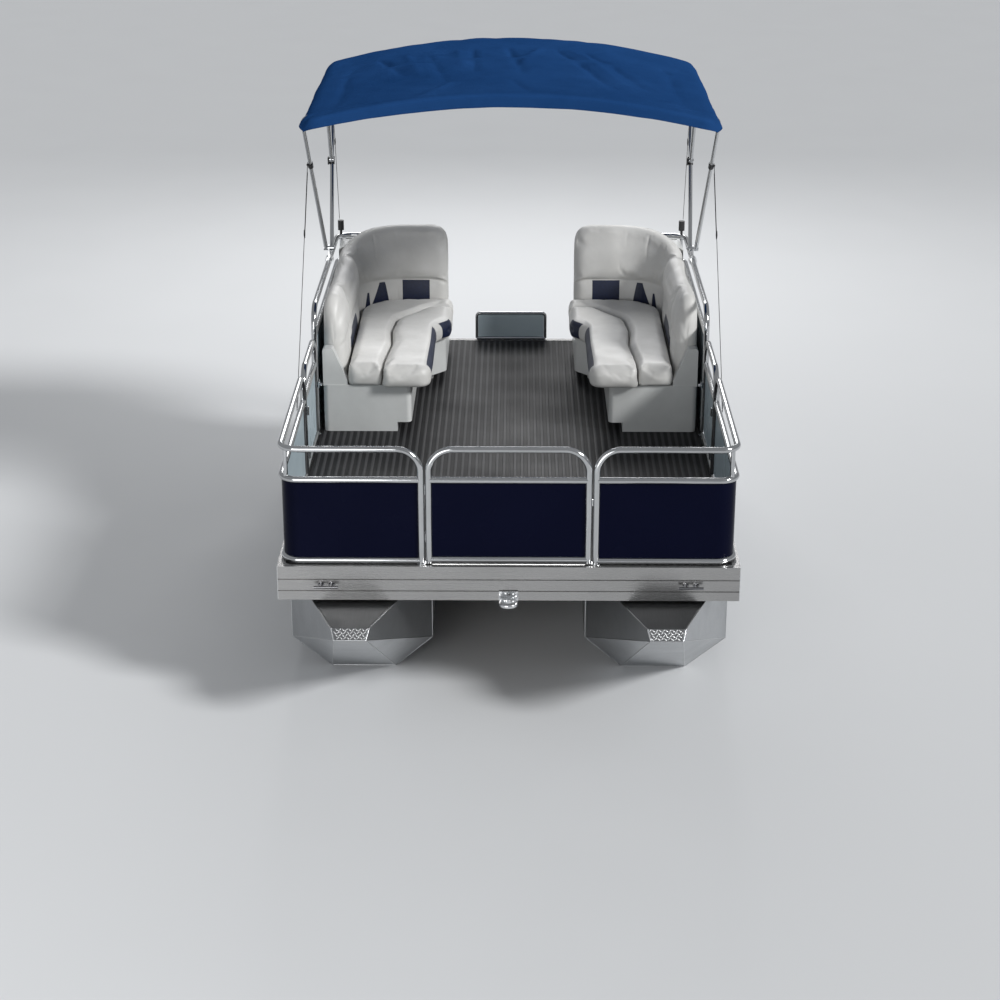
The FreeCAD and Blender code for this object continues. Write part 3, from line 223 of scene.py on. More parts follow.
def vinylMaterial(name):
    material, tree, shader = newMaterial(name, vinyl["pale"], 0.48, Sheen_Weight=0.04, Sheen_Roughness=0.5)
    cloud = noiseAt(tree, 5.0, 5.0, 0.6)
    wire(tree, shader, mixColours(tree, spread(tree, cloud), vinyl["pale"], vinyl["shade"]),
         spread(tree, cloud, 0.42, 0.56))
    pebbles = shaderNode(tree, "TexVoronoi", {"Vector": objectPattern(tree)}, {"Scale": vinyl["pebble"]},
                         feature="SMOOTH_F1")
    addBump(tree, shader, pebbles.outputs["Distance"], 0.35, 0.0006)
    addBump(tree, shader, noiseAt(tree, 22.0, 2.0), 0.25, 0.003)
    return material


def wovenMaterial(name, colour, shade, threads, roughness, shine):
    material, tree, shader = newMaterial(name, colour, roughness, 0.0, Specular_IOR_Level=shine)
    waves = []
    for direction in ("X", "Y"):
        wave = shaderNode(tree, "TexWave", {"Vector": objectPattern(tree)},
                          {"Scale": threads, "Distortion": 0.4, "Detail": 1.0}, wave_type="BANDS",
                          bands_direction=direction)
        waves.append(wave.outputs["Fac"])
    weave = compute(tree, "MULTIPLY", *waves)
    cloud = noiseAt(tree, 2.6, 6.0, 0.62)
    coarse, fine = compute(tree, "MULTIPLY", cloud, 0.75), compute(tree, "MULTIPLY", weave, 0.25)
    blend = compute(tree, "ADD", fine, coarse)
    wire(tree, shader, mixColours(tree, spread(tree, blend, 0, 1, 0.25, 0.75), shade, colour))
    addBump(tree, shader, weave, 0.5, 0.0008)
    return material


def floorMaterial():  # painted shade: dark between the ribs and paler on their tops
    material, tree, shader = newMaterial("ribbedVinyl", (0.05, 0.05, 0.052), 0.5, Specular_IOR_Level=0.08)
    fleck = noiseAt(tree, 240.0, 3.0, 0.7, (1, 0.25, 1))
    speckle = spread(tree, fleck, 0, 1, 0.35, 0.65)
    # painted shade: the colour darkens below the rib tops, into the grooves
    top = spread(tree, objectAxes(tree)["Z"], 0, 1, deckTop - 0.0016, deckTop - 0.0004)
    paintedGrooveShade = mixColours(tree, speckle, (0.010, 0.010, 0.011), (0.017, 0.017, 0.018))
    crest = mixColours(tree, speckle, (0.042, 0.042, 0.044), (0.060, 0.060, 0.062))
    stain = noiseAt(tree, 2.2, 4.0)
    wire(tree, shader, mixColours(tree, top, paintedGrooveShade, crest), spread(tree, stain, 0.40, 0.58))
    addBump(tree, shader, fleck, 0.4, 0.0005)
    return material


def plywoodMaterial():
    material, tree, shader = newMaterial("deckPlywood", (0.34, 0.24, 0.14), 0.7)
    grain = noiseAt(tree, 3.0, 6.0, 0.6, (40, 2.0, 220))
    wire(tree, shader, mixColours(tree, spread(tree, grain), (0.38, 0.27, 0.16), (0.22, 0.15, 0.09)))
    addBump(tree, shader, grain, 0.4, 0.001)
    return material


def within(tree, value, low, high):  # 1 between two limits, else 0
    above = compute(tree, "GREATER_THAN", value, low)
    return compute(tree, "MULTIPLY", above, compute(tree, "LESS_THAN", value, high))


backInserts = (  # from, to, lean of the front edge, lean of the back edge, lowest and highest
    (1.730, 1.913, 0.0, 0.0, 0.098, 0.234), (1.366, 1.578, 0.75, 0.28, 0.08, 0.226),
    (1.280, 1.352, 0.40, 0.10, 0.08, 0.176), (0.320, 0.840, 0.90, 0.90, 0.08, 0.196))
lobeInserts = (  # furthest off centre, from, to, lowest at both ends, highest
    (0.503, 2.03, 2.80, 0.350, 0.300, 0.397), (0.475, 2.878, 2.985, 0.295, 0.295, 0.392))


def backMask(tree):  # the backrest's inserts, drawn on its UV map in metres
    uv = shaderNode(tree, "UVMap", uv_map="flat")
    split = shaderNode(tree, "SeparateXYZ", {"Vector": uv.outputs["UV"]})
    along, up = split.outputs["X"], split.outputs["Y"]
    for first, last, leanFirst, leanLast, low, high in backInserts:
        height = compute(tree, "SUBTRACT", up, low)
        start = compute(tree, "ADD", compute(tree, "MULTIPLY", height, leanFirst), first)
        end = compute(tree, "SUBTRACT", last, compute(tree, "MULTIPLY", height, leanLast))
        yield compute(tree, "MULTIPLY", within(tree, along, start, end), within(tree, up, low, high))


def lobeMask(tree):  # the inserts on the aisle face of the seat lobe, in object coordinates
    axes = objectAxes(tree)
    across = compute(tree, "ABSOLUTE", axes["X"], 0)
    along = compute(tree, "SUBTRACT", axes["Y"], bowEdge)
    up = compute(tree, "SUBTRACT", axes["Z"], deckTop)
    for widest, first, last, lowFirst, lowLast, high in lobeInserts:
        slope = (lowLast - lowFirst) / (last - first)
        low = compute(tree, "ADD", compute(tree, "MULTIPLY", along, slope), lowFirst - slope * first)
        inside = compute(tree, "MULTIPLY", within(tree, along, first, last), within(tree, up, low, high))
        yield compute(tree, "MULTIPLY", compute(tree, "LESS_THAN", across, widest), inside)


def insetVinyl(name, mask):  # pale vinyl with dark inserts where the mask is 1
    material = vinylMaterial(name)
    tree = material.node_tree
    shader = tree.nodes["Principled BSDF"]
    pale = shader.inputs["Base Color"].links[0].from_socket
    fleck = spread(tree, noiseAt(tree, 160.0, 2.0, 0.7), 0, 1, 0.45, 0.75)
    dark = mixColours(tree, fleck, vinyl["insert"], vinyl["insertFleck"])
    where = 0
    for patch in mask(tree):
        where = compute(tree, "MAXIMUM", where, patch)
    wire(tree, shader, mixColours(tree, where, pale, dark))
    addBump(tree, shader, where, 0.6, -0.002)
    return material


finishes = {name: metalMaterial(name) for name in metalFinish}
finishes.update({
    "panel": panelMaterial("panelGloss", (0.0012, 0.0018, 0.0095), (0.42, 0.50, 0.54)),
    "shell": mouldedMaterial("seatShell", (0.60, 0.61, 0.60), coat=0.2),
    "plastic": mouldedMaterial("blackPlastic", (0.018, 0.018, 0.020), (0.38, 0.55)),
    "vinyl": vinylMaterial("paleVinyl"),
    "backrest": insetVinyl("backrestVinyl", backMask),
    "seatLobe": insetVinyl("seatLobeVinyl", lobeMask),
    "canopy": wovenMaterial("canopyCloth", (0.016, 0.062, 0.190), (0.010, 0.044, 0.142), 330.0, 1.0, 0.0),
    "webbing": wovenMaterial("strapWebbing", (0.022, 0.022, 0.024), (0.010, 0.010, 0.011), 420.0, 0.7, 0.3),
    "floor": floorMaterial(),
    "plywood": plywoodMaterial(),
})

nodeFinish = {
    "hull": "pontoon_port pontoon_starboard", "plate": "nose_plates", "cast": "mooring_cleats",
    "frame": "deck_cross_beams hull_risers", "plywood": "deck_board", "floor": "deck_flooring",
    "fasciaAcross": "fascia_bow fascia_stern", "fasciaAlong": "fascia_port fascia_starboard",
    "rail": "fence_bow_rails fence_stern_rails gate_bow gate_port gate_starboard stern_splash_frame "
            "canopy_bow_front canopy_bow_rear canopy_bow_middle",
    "panel": "fence_bow_panels fence_stern_panels gate_bow_panel gate_port_panel gate_starboard_panel "
             "stern_splash_panel",
    "chrome": "fascia_corner_caps gate_bow_fittings gate_port_fittings gate_starboard_fittings gate_knuckles "
              "tow_eye canopy_rail_mounts strap_anchor_studs",
    "pod": "motor_pod outboard_transom", "shell": "lounge_base_port lounge_base_starboard",
    "vinyl": "seat_cushion_port seat_cushion_starboard backrest_port backrest_starboard",
    "plastic": "canopy_jaw_slides canopy_strap_slides stern_strap_posts", "canopy": "canopy",
    "webbing": "canopy_strap_front_port canopy_strap_front_starboard canopy_straps_rear",
}
for finish, names in nodeFinish.items():
    for name in names.split():
        nodes[name].data.materials.clear()
        nodes[name].data.materials.append(finishes[finish])
print("materials ready")


# Camera, light and floor

stage = {
    "cameraPlace": (0.0333, -11.3025, 4.8636), "cameraTurn": (68.689, -0.02, 0.4628), "lens": 75.46,
    "keyStrength": 2.9, "keyPlace": (7.0, -4.0, 6.2), "keySpread": 12, "fillPower": 300,
    "fillPlace": (-3.5, -9.5, 2.4), "backPower": 300, "backPlace": (0.0, 8.0, 6.0), "floorSize": 60,
    "floorColour": (0.60, 0.61, 0.62), "skyColour": (0.80, 0.82, 0.85), "skyStrength": 0.40,
}


def addLamp(name, place, power, size, kind="AREA"):
    lamp = bpy.data.lights.new(name, kind)
    lamp.energy = power
    if kind == "SUN":
        lamp.angle = math.radians(size)
    else:
        lamp.size = size
    holder = addObject(name, lamp)
    holder.location = place
    holder.rotation_euler = (Vector((0, 0, 0.9)) - Vector(place)).to_track_quat("-Z", "Y").to_euler()


def buildStage():
    scene = bpy.context.scene
    scene.view_settings.view_transform = "Standard"
    camera = bpy.data.cameras.new("camera")
    camera.lens = stage["lens"]
    camera.sensor_width = 36
    camera.clip_end = 100
    scene.camera = addObject("camera", camera)
    scene.camera.location = stage["cameraPlace"]
    scene.camera.rotation_euler = [math.radians(turn) for turn in stage["cameraTurn"]]
    addLamp("keyLamp", stage["keyPlace"], stage["keyStrength"], stage["keySpread"], "SUN")
    addLamp("fillLamp", stage["fillPlace"], stage["fillPower"], 5.0)
    addLamp("backLamp", stage["backPlace"], stage["backPower"], 4.0)
    scene.world = bpy.data.worlds.new("studio")
    scene.world.use_nodes = True
    sky = scene.world.node_tree.nodes["Background"]
    sky.inputs["Color"].default_value = (*stage["skyColour"], 1)
    sky.inputs["Strength"].default_value = stage["skyStrength"]
    size = stage["floorSize"]
    mesh = bpy.data.meshes.new("studioFloor")
    corners = [(-size, -size, 0), (size, -size, 0), (size, size, 0), (-size, size, 0)]
    mesh.from_pydata(corners, [], [(0, 1, 2, 3)])
    material, tree, shader = newMaterial("studioFloor", stage["floorColour"], 0.75)
    tree.links.new(spread(tree, noiseAt(tree, 1.5, 3.0), 0.68, 0.82), shader.inputs["Roughness"])
    mesh.materials.append(material)
    addObject("studioFloor", mesh)


buildStage()
print("stage ready")


# Soft goods

def addPiece(name, vertices, faces, material, smooth=True):
    mesh = bpy.data.meshes.new(name)
    mesh.from_pydata([tuple(v) for v in vertices], [], faces)
    mesh.materials.append(material)
    mesh.polygons.foreach_set("use_smooth", [smooth] * len(mesh.polygons))
    mesh.update()
    return addObject(name, mesh)


def enter(piece, body, replaced=None):  # what the frame has to know of a piece
    if replaced:
        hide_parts(replaced)
    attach(piece, body)


def ringFaces(rings, around):  # quads between closed rings of points
    return [(ring * around + k, ring * around + (k + 1) % around, (ring + 1) * around + (k + 1) % around,
             (ring + 1) * around + k) for ring in range(rings - 1) for k in range(around)]


def ringEnds(rings, around):
    return [tuple(reversed(range(around))), tuple(range((rings - 1) * around, rings * around))]


def turnOutwards(piece):
    work = bmesh.new()
    work.from_mesh(piece.data)
    bmesh.ops.recalc_face_normals(work, faces=work.faces)
    work.to_mesh(piece.data)
    work.free()


def mirrorPiece(piece, name):
    other = addObject(name, piece.data.copy())
    work = bmesh.new()
    work.from_mesh(other.data)
    bmesh.ops.scale(work, vec=(-1, 1, 1), verts=work.verts)
    bmesh.ops.reverse_faces(work, faces=work.faces)
    work.to_mesh(other.data)
    work.free()
    return other


def bakeModifiers(piece):  # what the modifiers make becomes the piece's own mesh
    evaluated = piece.evaluated_get(bpy.context.evaluated_depsgraph_get())
    mesh = bpy.data.meshes.new_from_object(evaluated)
    piece.modifiers.clear()
    piece.data = mesh


def finishPair(port, name, replaced, fill):  # smooths a padded piece and makes its mirror image
    starboard = mirrorPiece(port, name + "Starboard")
    for piece, side in ((port, "port"), (starboard, "starboard")):
        modifier = piece.modifiers.new("subdivision", "SUBSURF")
        modifier.levels = modifier.render_levels = 1
        enter(piece, "hull", replaced + side)


def settleCloth(piece, pins, cap, pressure=4.0, frames=20, gravity=0.0, shrink=0.0, stiffness=15.0):
    scene = bpy.context.scene
    rest = [v.co.copy() for v in piece.data.vertices]
    group = piece.vertex_groups.new(name="pins")
    for index, weight in pins:
        group.add([index], weight, "REPLACE")
    cloth = piece.modifiers.new("cloth", "CLOTH")
    settings = cloth.settings
    settings.vertex_group_mass = "pins"
    settings.mass = 0.3
    settings.tension_stiffness = settings.compression_stiffness = stiffness
    settings.bending_stiffness = 0.6
    settings.shrink_min = shrink
    settings.effector_weights.gravity = gravity
    settings.use_pressure = pressure > 0
    settings.uniform_pressure_force = pressure
    cloth.collision_settings.use_collision = False
    cloth.point_cache.frame_start = 1
    cloth.point_cache.frame_end = frames
    for frameNumber in range(1, frames + 1):
        scene.frame_set(frameNumber)
    moved = piece.evaluated_get(bpy.context.evaluated_depsgraph_get()).data.vertices
    ends = [v.co.copy() for v in moved]
    piece.modifiers.remove(cloth)
    for vertex, start, end in zip(piece.data.vertices, rest, ends):
        shift = end - start
        vertex.co = start + shift * min(1.0, cap / max(shift.length, 1e-9))
    piece.data.update()
    scene.frame_set(1)


def smoothBetween(stations, s):  # cubic through the stations, which start with their place
    index = max(i for i in range(len(stations) - 1) if stations[i][0] <= s + 1e-9 or i == 0)
    a, b = stations[index], stations[index + 1]
    before, after = stations[max(index - 1, 0)], stations[min(index + 2, len(stations) - 1)]
    t = min(max((s - a[0]) / (b[0] - a[0]), 0), 1)
    result = []
    for k in range(1, len(a)):
        m0 = (b[k] - before[k]) / max(b[0] - before[0], 1e-9) * (b[0] - a[0])
        m1 = (after[k] - a[k]) / max(after[0] - a[0], 1e-9) * (b[0] - a[0])
        result.append((2 * t ** 3 - 3 * t ** 2 + 1) * a[k] + (t ** 3 - 2 * t ** 2 + t) * m0
                      + (-2 * t ** 3 + 3 * t ** 2) * b[k] + (t ** 3 - t ** 2) * m1)
    return result


def roundedOutline(points, bends, step):  # flat outline with an arc at each corner, evenly sampled
    points = [Vector(p) for p in points]
    dense = []
    for index, corner in enumerate(points):
        back = (points[index - 1] - corner).normalized()
        ahead = (points[(index + 1) % len(points)] - corner).normalized()
        half = back.angle(ahead) / 2
        reach = bends[index] / math.tan(half)
        heart = corner + (back + ahead).normalized() * (bends[index] / math.sin(half))
        first, last = corner + back * reach - heart, corner + ahead * reach - heart
        sweep = first.angle_signed(last)
        dense += [heart + Matrix.Rotation(-sweep * k / 8, 2) @ first for k in range(9)]
    lengths = [0.0]
    for index, point in enumerate(dense):
        lengths.append(lengths[-1] + (dense[(index + 1) % len(dense)] - point).length)
    count = max(8, int(lengths[-1] / step))
    outline, index = [], 0
    for k in range(count):
        goal = lengths[-1] * k / count
        while lengths[index + 1] < goal:
            index += 1
        share = (goal - lengths[index]) / max(lengths[index + 1] - lengths[index], 1e-9)
        outline.append(dense[index].lerp(dense[(index + 1) % len(dense)], share))
    return outline


def insetOutline(outline, distances):
    area = sum(a.x * b.y - b.x * a.y for a, b in zip(outline, outline[1:] + outline[:1]))
    turn = 1 if area > 0 else -1
    result = []
    for index, point in enumerate(outline):
        along = (outline[(index + 1) % len(outline)] - outline[index - 1]).normalized()
        result.append(point + Vector((-along.y, along.x)) * turn * distances[index])
    return result


cushion = {
    "voxel": 0.0105, "gap": 0.001, "cap": 0.009, "pressure": 4.0, "tight": 0.28, "rest": 0.2816,
    "pinned": 0.022, "step": 0.012, "fill": 0.8, "looseFrom": 0.020, "looseOver": 0.030,
    # inset from the outline and height of each ring
    "rings": ((0.016, 0.0), (0.003, 0.014), (0.0, 0.040), (0.001, 0.078), (0.012, 0.104), (0.034, 0.118)),
    "seam": ((0.739, 2.12), (0.712, 2.48), (0.728, 2.74), (0.706, 2.99), (0.519, 3.257)), "seamEnd": 3.280,
    "seamBends": [0.09, 0.24, 0.26, 0.20, 0.12], "lobeBends": [0.03, 0.09, 0.16, 0.075],
    "innerFront": 1.945, "outerFront": 1.985, "inner": 0.455, "endInner": 0.366, "side": 0.940,
    "stern": 3.424, "lobeEnd": 2.950, "lobeStart": 2.830, "corner": 0.258,
}


def fromSeam(point):  # how far a place on the seat lies from the seam between its two cushions
    line = [Vector(p) for p in ((cushion["seam"][0][0], cushion["innerFront"]),) + cushion["seam"]]
    best = 1.0
    for a, b in zip(line, line[1:]):
        share = min(1.0, max(0.0, (point - a).dot(b - a) / (b - a).length_squared))
        best = min(best, (point - a.lerp(b, share)).length)
    return best


def fromBack(point):  # how far a place on the seat lies from the edge along the backrest
    c = cushion
    past = [max(0.0, place - edge + c["corner"]) for place, edge in zip(point, (c["side"], c["stern"]))]
    return c["corner"] - math.hypot(*past)


def tightness(point):  # the edges are rounded less along the seam and the backrest
    c = cushion
    loose = min(1.0, max(0.0, min(fromSeam(point), fromBack(point)) - c["looseFrom"]) / c["looseOver"])
    return c["tight"] + (1 - c["tight"]) * loose


def cushionBlock(name, outline, material):
    c = cushion
    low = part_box("lounge_base_port")[0].z + c["rest"]
    tight = [tightness(p) for p in outline]
    vertices = [deckPoint(p.x, p.y, low - deckTop + rise) for inset, rise in c["rings"]
                for p in insetOutline(outline, [inset * share for share in tight])]
    size = (len(c["rings"]), len(outline))
    piece = addPiece(name, vertices, ringEnds(*size) + ringFaces(*size), material)
    turnOutwards(piece)
    guide = addObject(name + "Guide", piece.data.copy())
    remesh = piece.modifiers.new("remesh", "REMESH")
    remesh.mode = "VOXEL"
    remesh.voxel_size = c["voxel"]
    fit = piece.modifiers.new("fit", "SHRINKWRAP")
    fit.target = guide
    fit.wrap_method = "NEAREST_SURFACEPOINT"
    smooth = piece.modifiers.new("smooth", "SMOOTH")
    smooth.factor = 0.5
    smooth.iterations = 4
    bakeModifiers(piece)
    bpy.data.objects.remove(guide)
    piece.data.polygons.foreach_set("use_smooth", [True] * len(piece.data.polygons))
    pins = [(v.index, 1.0) for v in piece.data.vertices if v.co.z < low + c["pinned"]]
    settleCloth(piece, pins, c["cap"], c["pressure"])
    for vertex in piece.data.vertices:
        vertex.co.z = max(vertex.co.z, low)
    return piece


def addCushions():
    c = cushion
    inner = [(x - c["gap"] / 2, y - c["gap"] / 2) for x, y in c["seam"]]
    outer = [(x + c["gap"] / 2, y + c["gap"] / 2) for x, y in c["seam"]]
    lobePlan = [(inner[0][0], c["innerFront"])] + inner + [
        (c["endInner"], c["seamEnd"]), (c["endInner"], c["lobeEnd"]), (c["inner"], c["lobeStart"]),
        (c["inner"], c["innerFront"])]
    stripPlan = [(outer[0][0], c["outerFront"])] + outer + [
        (c["endInner"], c["seamEnd"] + 2 * c["gap"]), (c["endInner"], c["stern"]), (c["side"], c["stern"]),
        (c["side"], c["outerFront"])]
    lobe = roundedOutline(lobePlan, [0.045] + c["seamBends"] + c["lobeBends"], c["step"])
    strip = roundedOutline(stripPlan, [0.012] + c["seamBends"] + [0.012, 0.045, c["corner"], 0.06], c["step"])
    for label, outline, finish in (("seatLobe", lobe, "seatLobe"), ("seatStrip", strip, "vinyl")):
        finishPair(cushionBlock(label + "Port", outline, finishes[finish]), label, "seat_cushion_", c["fill"])


backrest = {
    "outer": 1.078, "back": 3.612, "frontEnd": 2.088, "turn": 0.400, "innerEnd": 0.402, "seam": 0.238,
    "endRound": 0.055, "topRound": 0.105, "step": 0.0125, "around": 104, "cap": 0.011, "pressure": 5.0,
    "slant": 0.075, "slantEnd": 0.30, "rest": 0.2816, "fill": 0.85, "endRings": (0.0, 0.004, 0.012),
    "endGap": 0.016, "pinWidths": (0.016, 0.010), "pinnedFoot": 0.06,
    # place along the back, height, thickness at the head, thickness at the waist
    "stations": ((0.0, 0.470, 0.090, 0.126), (0.12, 0.492, 0.106, 0.132), (0.34, 0.484, 0.108, 0.134),
                 (0.55, 0.464, 0.104, 0.132), (0.80, 0.464, 0.112, 0.134), (0.97, 0.484, 0.124, 0.136),
                 (1.07, 0.466, 0.092, 0.124), (1.24, 0.498, 0.088, 0.130), (1.46, 0.552, 0.096, 0.158),
                 (1.66, 0.572, 0.104, 0.178), (2.03, 0.572, 0.104, 0.182)),
    # place, depth and width of the creases that part the sections
    "creases": ((0.355, 0.016, 0.024), (1.035, 0.018, 0.028)),
}
backrest["straight"] = backrest["back"] - backrest["turn"] - backrest["frontEnd"]
backrest["bend"] = backrest["turn"] * math.pi / 2
backrest["length"] = (backrest["straight"] + backrest["bend"] + backrest["outer"] - backrest["turn"]
                      - backrest["innerEnd"])


def backPath(s):  # a place on the wall behind the lounge and the way in from it
    b = backrest
    heartX, heartY = b["outer"] - b["turn"], b["back"] - b["turn"]
    if s < b["straight"]:
        return (b["outer"], b["frontEnd"] + s), (-1, 0)
    if s < b["straight"] + b["bend"]:
        angle = (s - b["straight"]) / b["turn"]
        return ((heartX + b["turn"] * math.cos(angle), heartY + b["turn"] * math.sin(angle)),
                (-math.cos(angle), -math.sin(angle)))
    return (heartX - (s - b["straight"] - b["bend"]), b["back"]), (0, -1)


def backSection(s):  # closed loop of (inward, height)
    b = backrest
    seam = b["seam"]
    top, head, waist = smoothBetween(b["stations"], s)
    corners = ((0.0, 0.0), (0.0, top * 0.30), (0.0, top * 0.65), (0.003, top - 0.055),
               (head * 0.20, top - 0.014), (head * 0.5, top), (head * 0.86, top - 0.018),
               (head * 1.04, top - 0.075), (head * 0.5 + waist * 0.56, top * 0.5 + seam * 0.5),
               (waist * 0.99, seam + 0.035), (waist * 0.94, seam), (waist * 0.99, seam - 0.035),
               (waist, 0.10), (waist * 0.96, 0.03), (waist * 0.90, 0.0), (waist * 0.45, 0.0))
    crease = sum(depth * math.exp(-((s - place) / width) ** 2) for place, depth, width in b["creases"])
    near = min(s, b["length"] - s)
    inset, drop = [radius - math.sqrt(radius ** 2 - max(0.0, radius - near) ** 2)
                   for radius in (b["endRound"], b["topRound"])]
    loop = []
    for k in range(b["around"]):
        index, t = divmod(len(corners) * k / b["around"], 1)
        p0, p1, p2, p3 = (Vector(corners[(int(index) + j) % len(corners)]) for j in (-1, 0, 1, 2))
        point = 0.5 * ((2 * p1) + (p2 - p0) * t + (2 * p0 - 5 * p1 + 4 * p2 - p3) * t * t
                       + (3 * p1 - p0 - 3 * p2 + p3) * t ** 3)
        n, z = max(point.x, 0.0), max(point.y, 0.0)
        n -= crease * min(1.0, n / 0.05) * min(1.0, z / 0.15)
        z -= crease * 0.8 * max(0.0, (z - top + 0.12) / 0.12)
        loop.append((waist / 2 + (n - waist / 2) * (1 - inset / (waist / 2) * 0.96), z * (1 - drop / top)))
    return loop


def addBackrests():
    b = backrest
    length, around = b["length"], b["around"]
    places = list(b["endRings"])
    while places[-1] < length:
        places.append(places[-1] + b["step"])
    places = [p for p in places if p < length - b["endGap"]] + [length - p for p in reversed(b["endRings"])]
    vertices, uvs = [], []
    for s in places:
        spot, inward = backPath(s)
        for n, z in backSection(s):
            slant = b["slant"] * max(0.0, 1 - s / b["slantEnd"]) * (0.5 - min(z / 0.45, 1.0))
            x, y = spot[0] + inward[0] * n, spot[1] + inward[1] * n - slant
            vertices.append(deckPoint(x, y, b["rest"] + z))
            uvs.append((s, z if n > 0.02 else -1.0))
    faces = [face[:1] + face[:0:-1] for face in ringFaces(len(places), around)]
    for ring, order in ((0, 1), (len(places) - 1, -1)):
        start = ring * around
        vertices.append(sum((vertices[start + k] for k in range(around)), Vector()) / around)
        uvs.append((places[ring], -1.0))
        faces += [(start + k, start + (k + 1) % around, len(vertices) - 1)[::order] for k in range(around)]
    port = addPiece("backrestPort", vertices, faces, finishes["backrest"])
    layer = port.data.uv_layers.new(name="flat")
    for loop in port.data.loops:
        layer.data[loop.index].uv = uvs[loop.vertex_index]
    turnOutwards(port)
    acrossCrease, acrossSeam = b["pinWidths"]
    pins = []
    for index, (s, z) in enumerate(uvs):
        crease = max(math.exp(-((s - place) / acrossCrease) ** 2) for place, depth, width in b["creases"])
        hold = 1.0 if z < b["pinnedFoot"] else max(crease, math.exp(-((z - b["seam"]) / acrossSeam) ** 2))
        if hold > 0.05:
            pins.append((index, hold))
    settleCloth(port, pins, b["cap"], b["pressure"])
    finishPair(port, "backrest", "backrest_", b["fill"])


addCushions()
print("seat cushions ready")
addBackrests()
print("backrests ready")


# Canopy

canopy = {
    "gap": 0.0008, "bend": 0.108, "drop": 0.160, "across": 168, "wall": 0.0016, "sideHem": 0.212,
    "frontHem": 0.072, "scallop": 0.022, "sag": 0.016, "narrowing": 0.012, "foldScale": 2.0, "step": 0.0135,
    "cap": 0.020, "slack": -0.006, "edge": 0.0028, "roll": 0.022, "corner": 0.130, "rearCorner": 0.055,
    "hemRows": 7, "rollRows": 6, "bow": 0.0125, "overBow": 0.0135, "edgeBand": 0.10, "foldBand": 0.07,
    "rippleBand": 0.08, "crestFrom": 0.3, "crestOver": 0.5,
    # scale, shift and height of the noise in the cloth
    "ripples": ((3.1, (0, 0, 0), 0.010), (8.0, (4, 1, 0), 0.006)), "crest": (5.0, (0, 7, 2), 0.009),
    # how firmly the cloth is held at its hems, on the bows and near the side hems, and how far that reaches
    "hemHold": (0.95, 0.012), "bowHold": (1.0, 0.016), "nearHold": (0.25, 0.05),
}
folds = (  # from and to, as metres off centre and back from the deck's front edge, then depth and half width
    ((-0.020, 3.19), (0.075, 2.30), -0.011, 0.024), ((0.190, 3.19), (0.020, 2.45), 0.008, 0.030),
    ((-0.235, 3.19), (-0.205, 2.40), -0.008, 0.022), ((-0.330, 3.19), (-0.270, 2.50), 0.005, 0.030),
    ((-0.800, 3.18), (-0.600, 2.45), -0.009, 0.024), ((-0.640, 3.18), (-0.520, 2.40), 0.006, 0.030),
    ((0.260, 3.20), (0.600, 2.02), -0.010, 0.022), ((0.340, 3.20), (0.690, 2.10), 0.007, 0.026),
    ((0.430, 3.20), (0.790, 2.15), -0.008, 0.022), ((-0.500, 3.10), (-0.340, 2.00), -0.005, 0.026),
    ((0.000, 2.15), (0.160, 1.55), -0.004, 0.026), ((-0.330, 2.15), (-0.520, 1.55), 0.004, 0.030),
    ((0.900, 3.10), (0.960, 1.90), -0.005, 0.030), ((-0.940, 3.05), (-0.980, 1.80), -0.005, 0.030),
)


def foldHeight(x, y):  # how much the folds lift the cloth at a place
    lift = 0.0
    for (startX, startY), (endX, endY), depth, width in folds:
        run = Vector((endX - startX, endY - startY))
        reach = Vector((x - startX, y - bowEdge - startY))
        share = reach.dot(run) / run.length_squared
        if 0 < share < 1:
            off = (reach - run * share).length / (width * (0.7 + 0.9 * share))
            lift += depth * math.exp(-off ** 1.5) * (1 - (2 * share - 1) ** 4) * (1.2 - 0.7 * share)
    return lift * canopy["foldScale"]


def swell(place, scale, shift, height):
    return noise.noise(place * scale + Vector(shift)) * height


def roundCorner(x, y, half, front, rear):  # pulls the corners of the cloth's plan in to arcs
    ahead = y < (front + rear) / 2
    radius = canopy["corner"] if ahead else canopy["rearCorner"]
    offX = abs(x) - (half - radius)
    offY = max(front + radius - y, y - (rear - radius))
    if offX <= 0 or offY <= 0:
        return x, y
    pull = max(offX, offY) / math.hypot(offX, offY)
    newY = front + radius - offY * pull if ahead else rear - radius + offY * pull
    return math.copysign(half - radius + offX * pull, x), newY


def archSamples(half, crown, drop, bend, low, count):  # (x, z) over the top, side to side, and half the run
    radius = (half * half + drop * drop) / (2 * drop)
    heart = crown - radius
    cornerX = half - bend
    cornerZ = heart + math.sqrt((radius - bend) ** 2 - cornerX ** 2)
    tilt = math.atan2(cornerZ - heart, cornerX)
    topRun, bendRun, legRun = radius * (math.pi / 2 - tilt), bend * tilt, cornerZ - low
    total = topRun + bendRun + legRun
    points = []
    for k in range(count + 1):
        place = (2 * k / count - 1) * total
        side, run = math.copysign(1, place), abs(place)
        if run < topRun:
            angle = math.pi / 2 - run / radius
            x, z = radius * math.cos(angle), heart + radius * math.sin(angle)
        elif run < topRun + bendRun:
            angle = tilt - (run - topRun) / bend
            x, z = cornerX + bend * math.cos(angle), cornerZ + bend * math.sin(angle)
        else:
            x, z = half, cornerZ - (run - topRun - bendRun)
        points.append((side * x, z))
    return points, total


def bowCrowns():  # where each bow's crown lies along the boat, and how high its top is
    front, middle, rear = [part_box("canopy_bow_" + label) for label in ("front", "middle", "rear")]
    radius = canopy["bow"]
    return front[0].y + radius, middle[0].y + radius, rear[1].y - radius, front[1].z


